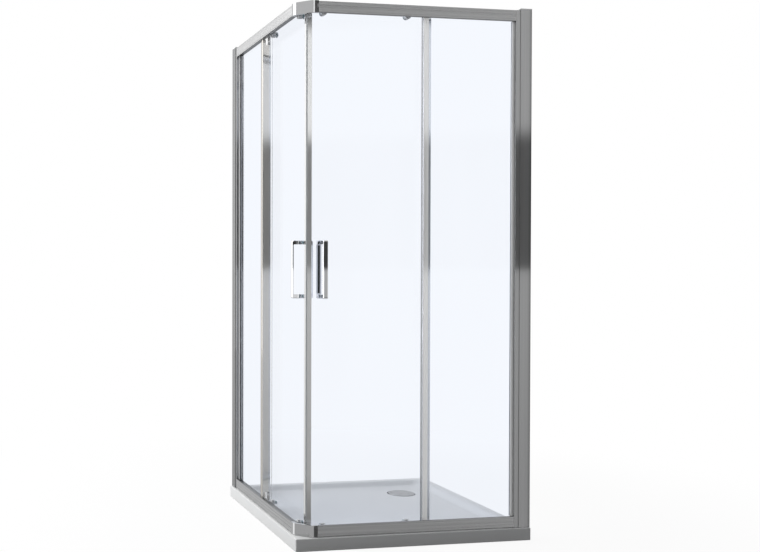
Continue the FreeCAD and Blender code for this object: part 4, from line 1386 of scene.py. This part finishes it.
class ENCLOSURE_OT_studio(bpy.types.Operator):
    """Pale floor, soft studio light and the camera"""

    bl_idname = "enclosure.studio"
    bl_label = "Studio"

    def execute(self, context):
        studio = chosen().studio
        scene = context.scene
        scene.view_settings.view_transform = "Standard"
        self.floor(studio)
        self.world(scene, studio)
        self.key_light(scene, studio)
        self.camera(scene, studio)
        return {"FINISHED"}

    def floor(self, studio):
        b = bmesh.new()
        down = Matrix.Translation((0, 0, -studio.floor_gap))
        facets = 96
        bmesh.ops.create_circle(b, cap_ends=True, radius=studio.floor_radius, segments=facets, matrix=down)
        mesh = bpy.data.meshes.new("studio_floor")
        b.to_mesh(mesh)
        b.free()
        floor = bpy.data.objects.new("studio_floor", mesh)
        bpy.context.scene.collection.objects.link(floor)
        mesh.materials.append(finish("floor_paper", self.floor_paper, studio))
        # Reflections pass through the paper and see the ground of the world instead.
        floor.visible_glossy = False

    def floor_paper(self, b, studio):
        """White paper: it keeps a soft shadow near the tray and runs out into the white background."""
        seen = b.node("ShaderNodeLightPath")["Is Camera Ray"]
        spot = b.node("ShaderNodeTexCoord")["Object"]
        distance = b.node("ShaderNodeVectorMath", {"operation": "LENGTH"}, {"Vector": spot})["Value"]
        glow = PAPER_GLOW + b.between(distance, *PAPER_RUN) * (1 - PAPER_GLOW)
        tone = b.blend(seen, opaque([studio.floor_shade] * 3), opaque(PAPER_WHITE))
        paper = b.node("ShaderNodeBsdfDiffuse", None, {"Color": tone})["BSDF"]
        white = b.node("ShaderNodeEmission", None, {"Color": opaque(WHITE), "Strength": 1.0})["Emission"]
        return b.mix_shader(seen * glow, paper, white)

    @staticmethod
    def along(b, towards, direction):
        """How far a direction points along another one, from -1 to 1."""
        inputs = {0: towards, 1: direction}
        return b.node("ShaderNodeVectorMath", {"operation": "DOT_PRODUCT"}, inputs)["Value"]

    def dark_board(self, b, towards, half):
        """An upright dark board in front, a little to the right, with half its width given."""
        beside = abs(self.along(b, towards, BOARD_BESIDE))
        ahead = self.along(b, towards, BOARD_AHEAD)
        return (1 - b.between(beside, half, half * BOARD_BLUR)) * b.between(ahead, *IN_FRONT)

    def ground(self, b, towards, studio):
        """Brightness of the floor in reflections: darker at the board, brighter below the key light."""
        depth = -1 * self.along(b, towards, UP)
        shade = BOARD_SHADE
        for start, end, share in BOARD_SHADE_STEPS:
            shade = shade + b.between(depth, start, end) * share
        board = self.dark_board(b, towards, BOARD_HALF) * shade
        post = self.dark_board(b, towards, POST_HALF) * POST_SHADE
        dark = b.maths("MAXIMUM", board, post)
        glint = b.between(self.along(b, towards, KEY_SIDE), *GLINT)
        fade = 1 - b.between(depth, 0.0, GROUND_FADE_DEPTH) * GROUND_FADE
        return studio.floor_mirrored * fade * (1 - dark) + glint * studio.floor_glint

    def sky(self, b, towards, ahead, rise, studio):
        """Brightness above the horizon in reflections: a dark band and a beam in front, and a strip light."""
        above_band = b.between(rise, studio.band_top - BAND_BLUR, studio.band_top + BAND_BLUR)
        band = b.between(ahead, *BAND_AHEAD) * (1 - above_band)
        beam = self.dark_board(b, towards, BOARD_HALF) * b.between(rise, *BEAM_RISE)
        beside = abs(self.along(b, towards, RIGHTWARD))
        strip = (1 - b.between(beside, *STRIP_HALF)) * b.between(ahead, *IN_FRONT)
        strip = strip * b.between(rise, *STRIP_RISE)
        return (1 - band * studio.band_dark) * (1 - beam * BEAM_DARK) + strip * studio.strip_glow

    def soft_light(self, b, ahead, rise, studio):
        """Light on dull surfaces: dim from the front, brighter from the back, less from straight above."""
        back = (1 - ahead) * 0.5
        lit = studio.front_dim + back**BACK_CURVE * (1 - studio.front_dim)
        return lit * (1 - b.maths("MAXIMUM", rise, 0.0) * studio.top_dim)

    def world(self, scene, studio):
        """White where it is seen, a studio in reflections, and soft light for the rest."""
        world = bpy.data.worlds.new("studio")
        scene.world = world
        world.use_nodes = True
        b = Board(world.node_tree)
        path = b.node("ShaderNodeLightPath")
        seen = b.maths("MAXIMUM", path["Is Camera Ray"], path["Is Transmission Ray"])
        towards = b.node("ShaderNodeTexCoord")["Generated"]
        ahead = self.along(b, towards, FRONT)
        rise = self.along(b, towards, UP)
        lit = self.soft_light(b, ahead, rise, studio)
        sky = self.sky(b, towards, ahead, rise, studio)
        ground = self.ground(b, towards, studio)
        mirrored = ground + b.between(rise, *HORIZON) * (sky - ground)
        glow = lit + path["Is Glossy Ray"] * (mirrored - lit)
        colour = b.blend(seen, b.light(glow, MOST_GLOW, SKY_TINT), opaque(WHITE))
        light = b.node("ShaderNodeBackground", None, {"Color": colour, "Strength": 1.0})["Background"]
        b.node("ShaderNodeOutputWorld", None, {"Surface": light})

    def key_light(self, scene, studio):
        lamp = bpy.data.lights.new("key_light", "AREA")
        lamp.energy = studio.key_power
        lamp.size = studio.key_size
        key = bpy.data.objects.new("key_light", lamp)
        scene.collection.objects.link(key)
        low, high = CAD_BOX
        away = KEY_AWAY * (high - low).length
        key.location = (low + high) / 2 + away * KEY_DISTANCE
        key.rotation_mode = "QUATERNION"
        key.rotation_quaternion = (-away).to_track_quat("-Z", "Y")

    def camera(self, scene, studio):
        lens = bpy.data.cameras.new("photo_camera")
        lens.sensor_width = SENSOR_WIDTH
        lens.lens = studio.camera_lens
        lens.shift_x = studio.camera_shift
        camera = bpy.data.objects.new("photo_camera", lens)
        scene.collection.objects.link(camera)
        camera.location = studio.camera_place
        camera.rotation_euler = (math.radians(90) + studio.camera_pitch, 0, -studio.camera_yaw)
        scene.camera = camera


OPERATORS = (
    ENCLOSURE_OT_tray,
    ENCLOSURE_OT_drain_cover,
    ENCLOSURE_OT_frame,
    ENCLOSURE_OT_chrome,
    ENCLOSURE_OT_glass,
    ENCLOSURE_OT_seals,
    ENCLOSURE_OT_running_gear,
    ENCLOSURE_OT_glass_caps,
    ENCLOSURE_OT_springs,
    ENCLOSURE_OT_frame_screws,
    ENCLOSURE_OT_studio,
)


class ENCLOSURE_PT_panel(bpy.types.Panel):
    """Lists the pieces of the enclosure"""

    bl_idname = "ENCLOSURE_PT_panel"
    bl_label = "Shower enclosure"
    bl_space_type = "VIEW_3D"
    bl_region_type = "UI"
    bl_category = "Shower"

    def draw(self, context):
        for operator in OPERATORS:
            self.layout.operator(operator.bl_idname)


GROUPS = (
    EnclosureTray,
    EnclosureMetal,
    EnclosureClear,
    EnclosureFittings,
    EnclosureStudio,
    EnclosureSettings,
)


def register():
    for item in GROUPS + OPERATORS + (ENCLOSURE_PT_panel,):
        bpy.utils.register_class(item)
    bpy.types.Scene.enclosure = PointerProperty(type=EnclosureSettings)


def unregister():
    del bpy.types.Scene.enclosure
    for item in reversed(GROUPS + OPERATORS + (ENCLOSURE_PT_panel,)):
        bpy.utils.unregister_class(item)


def main():
    register()
    for operator in OPERATORS:
        group, name = operator.bl_idname.split(".")
        getattr(getattr(bpy.ops, group), name)()


if __name__ == "__main__":
    main()
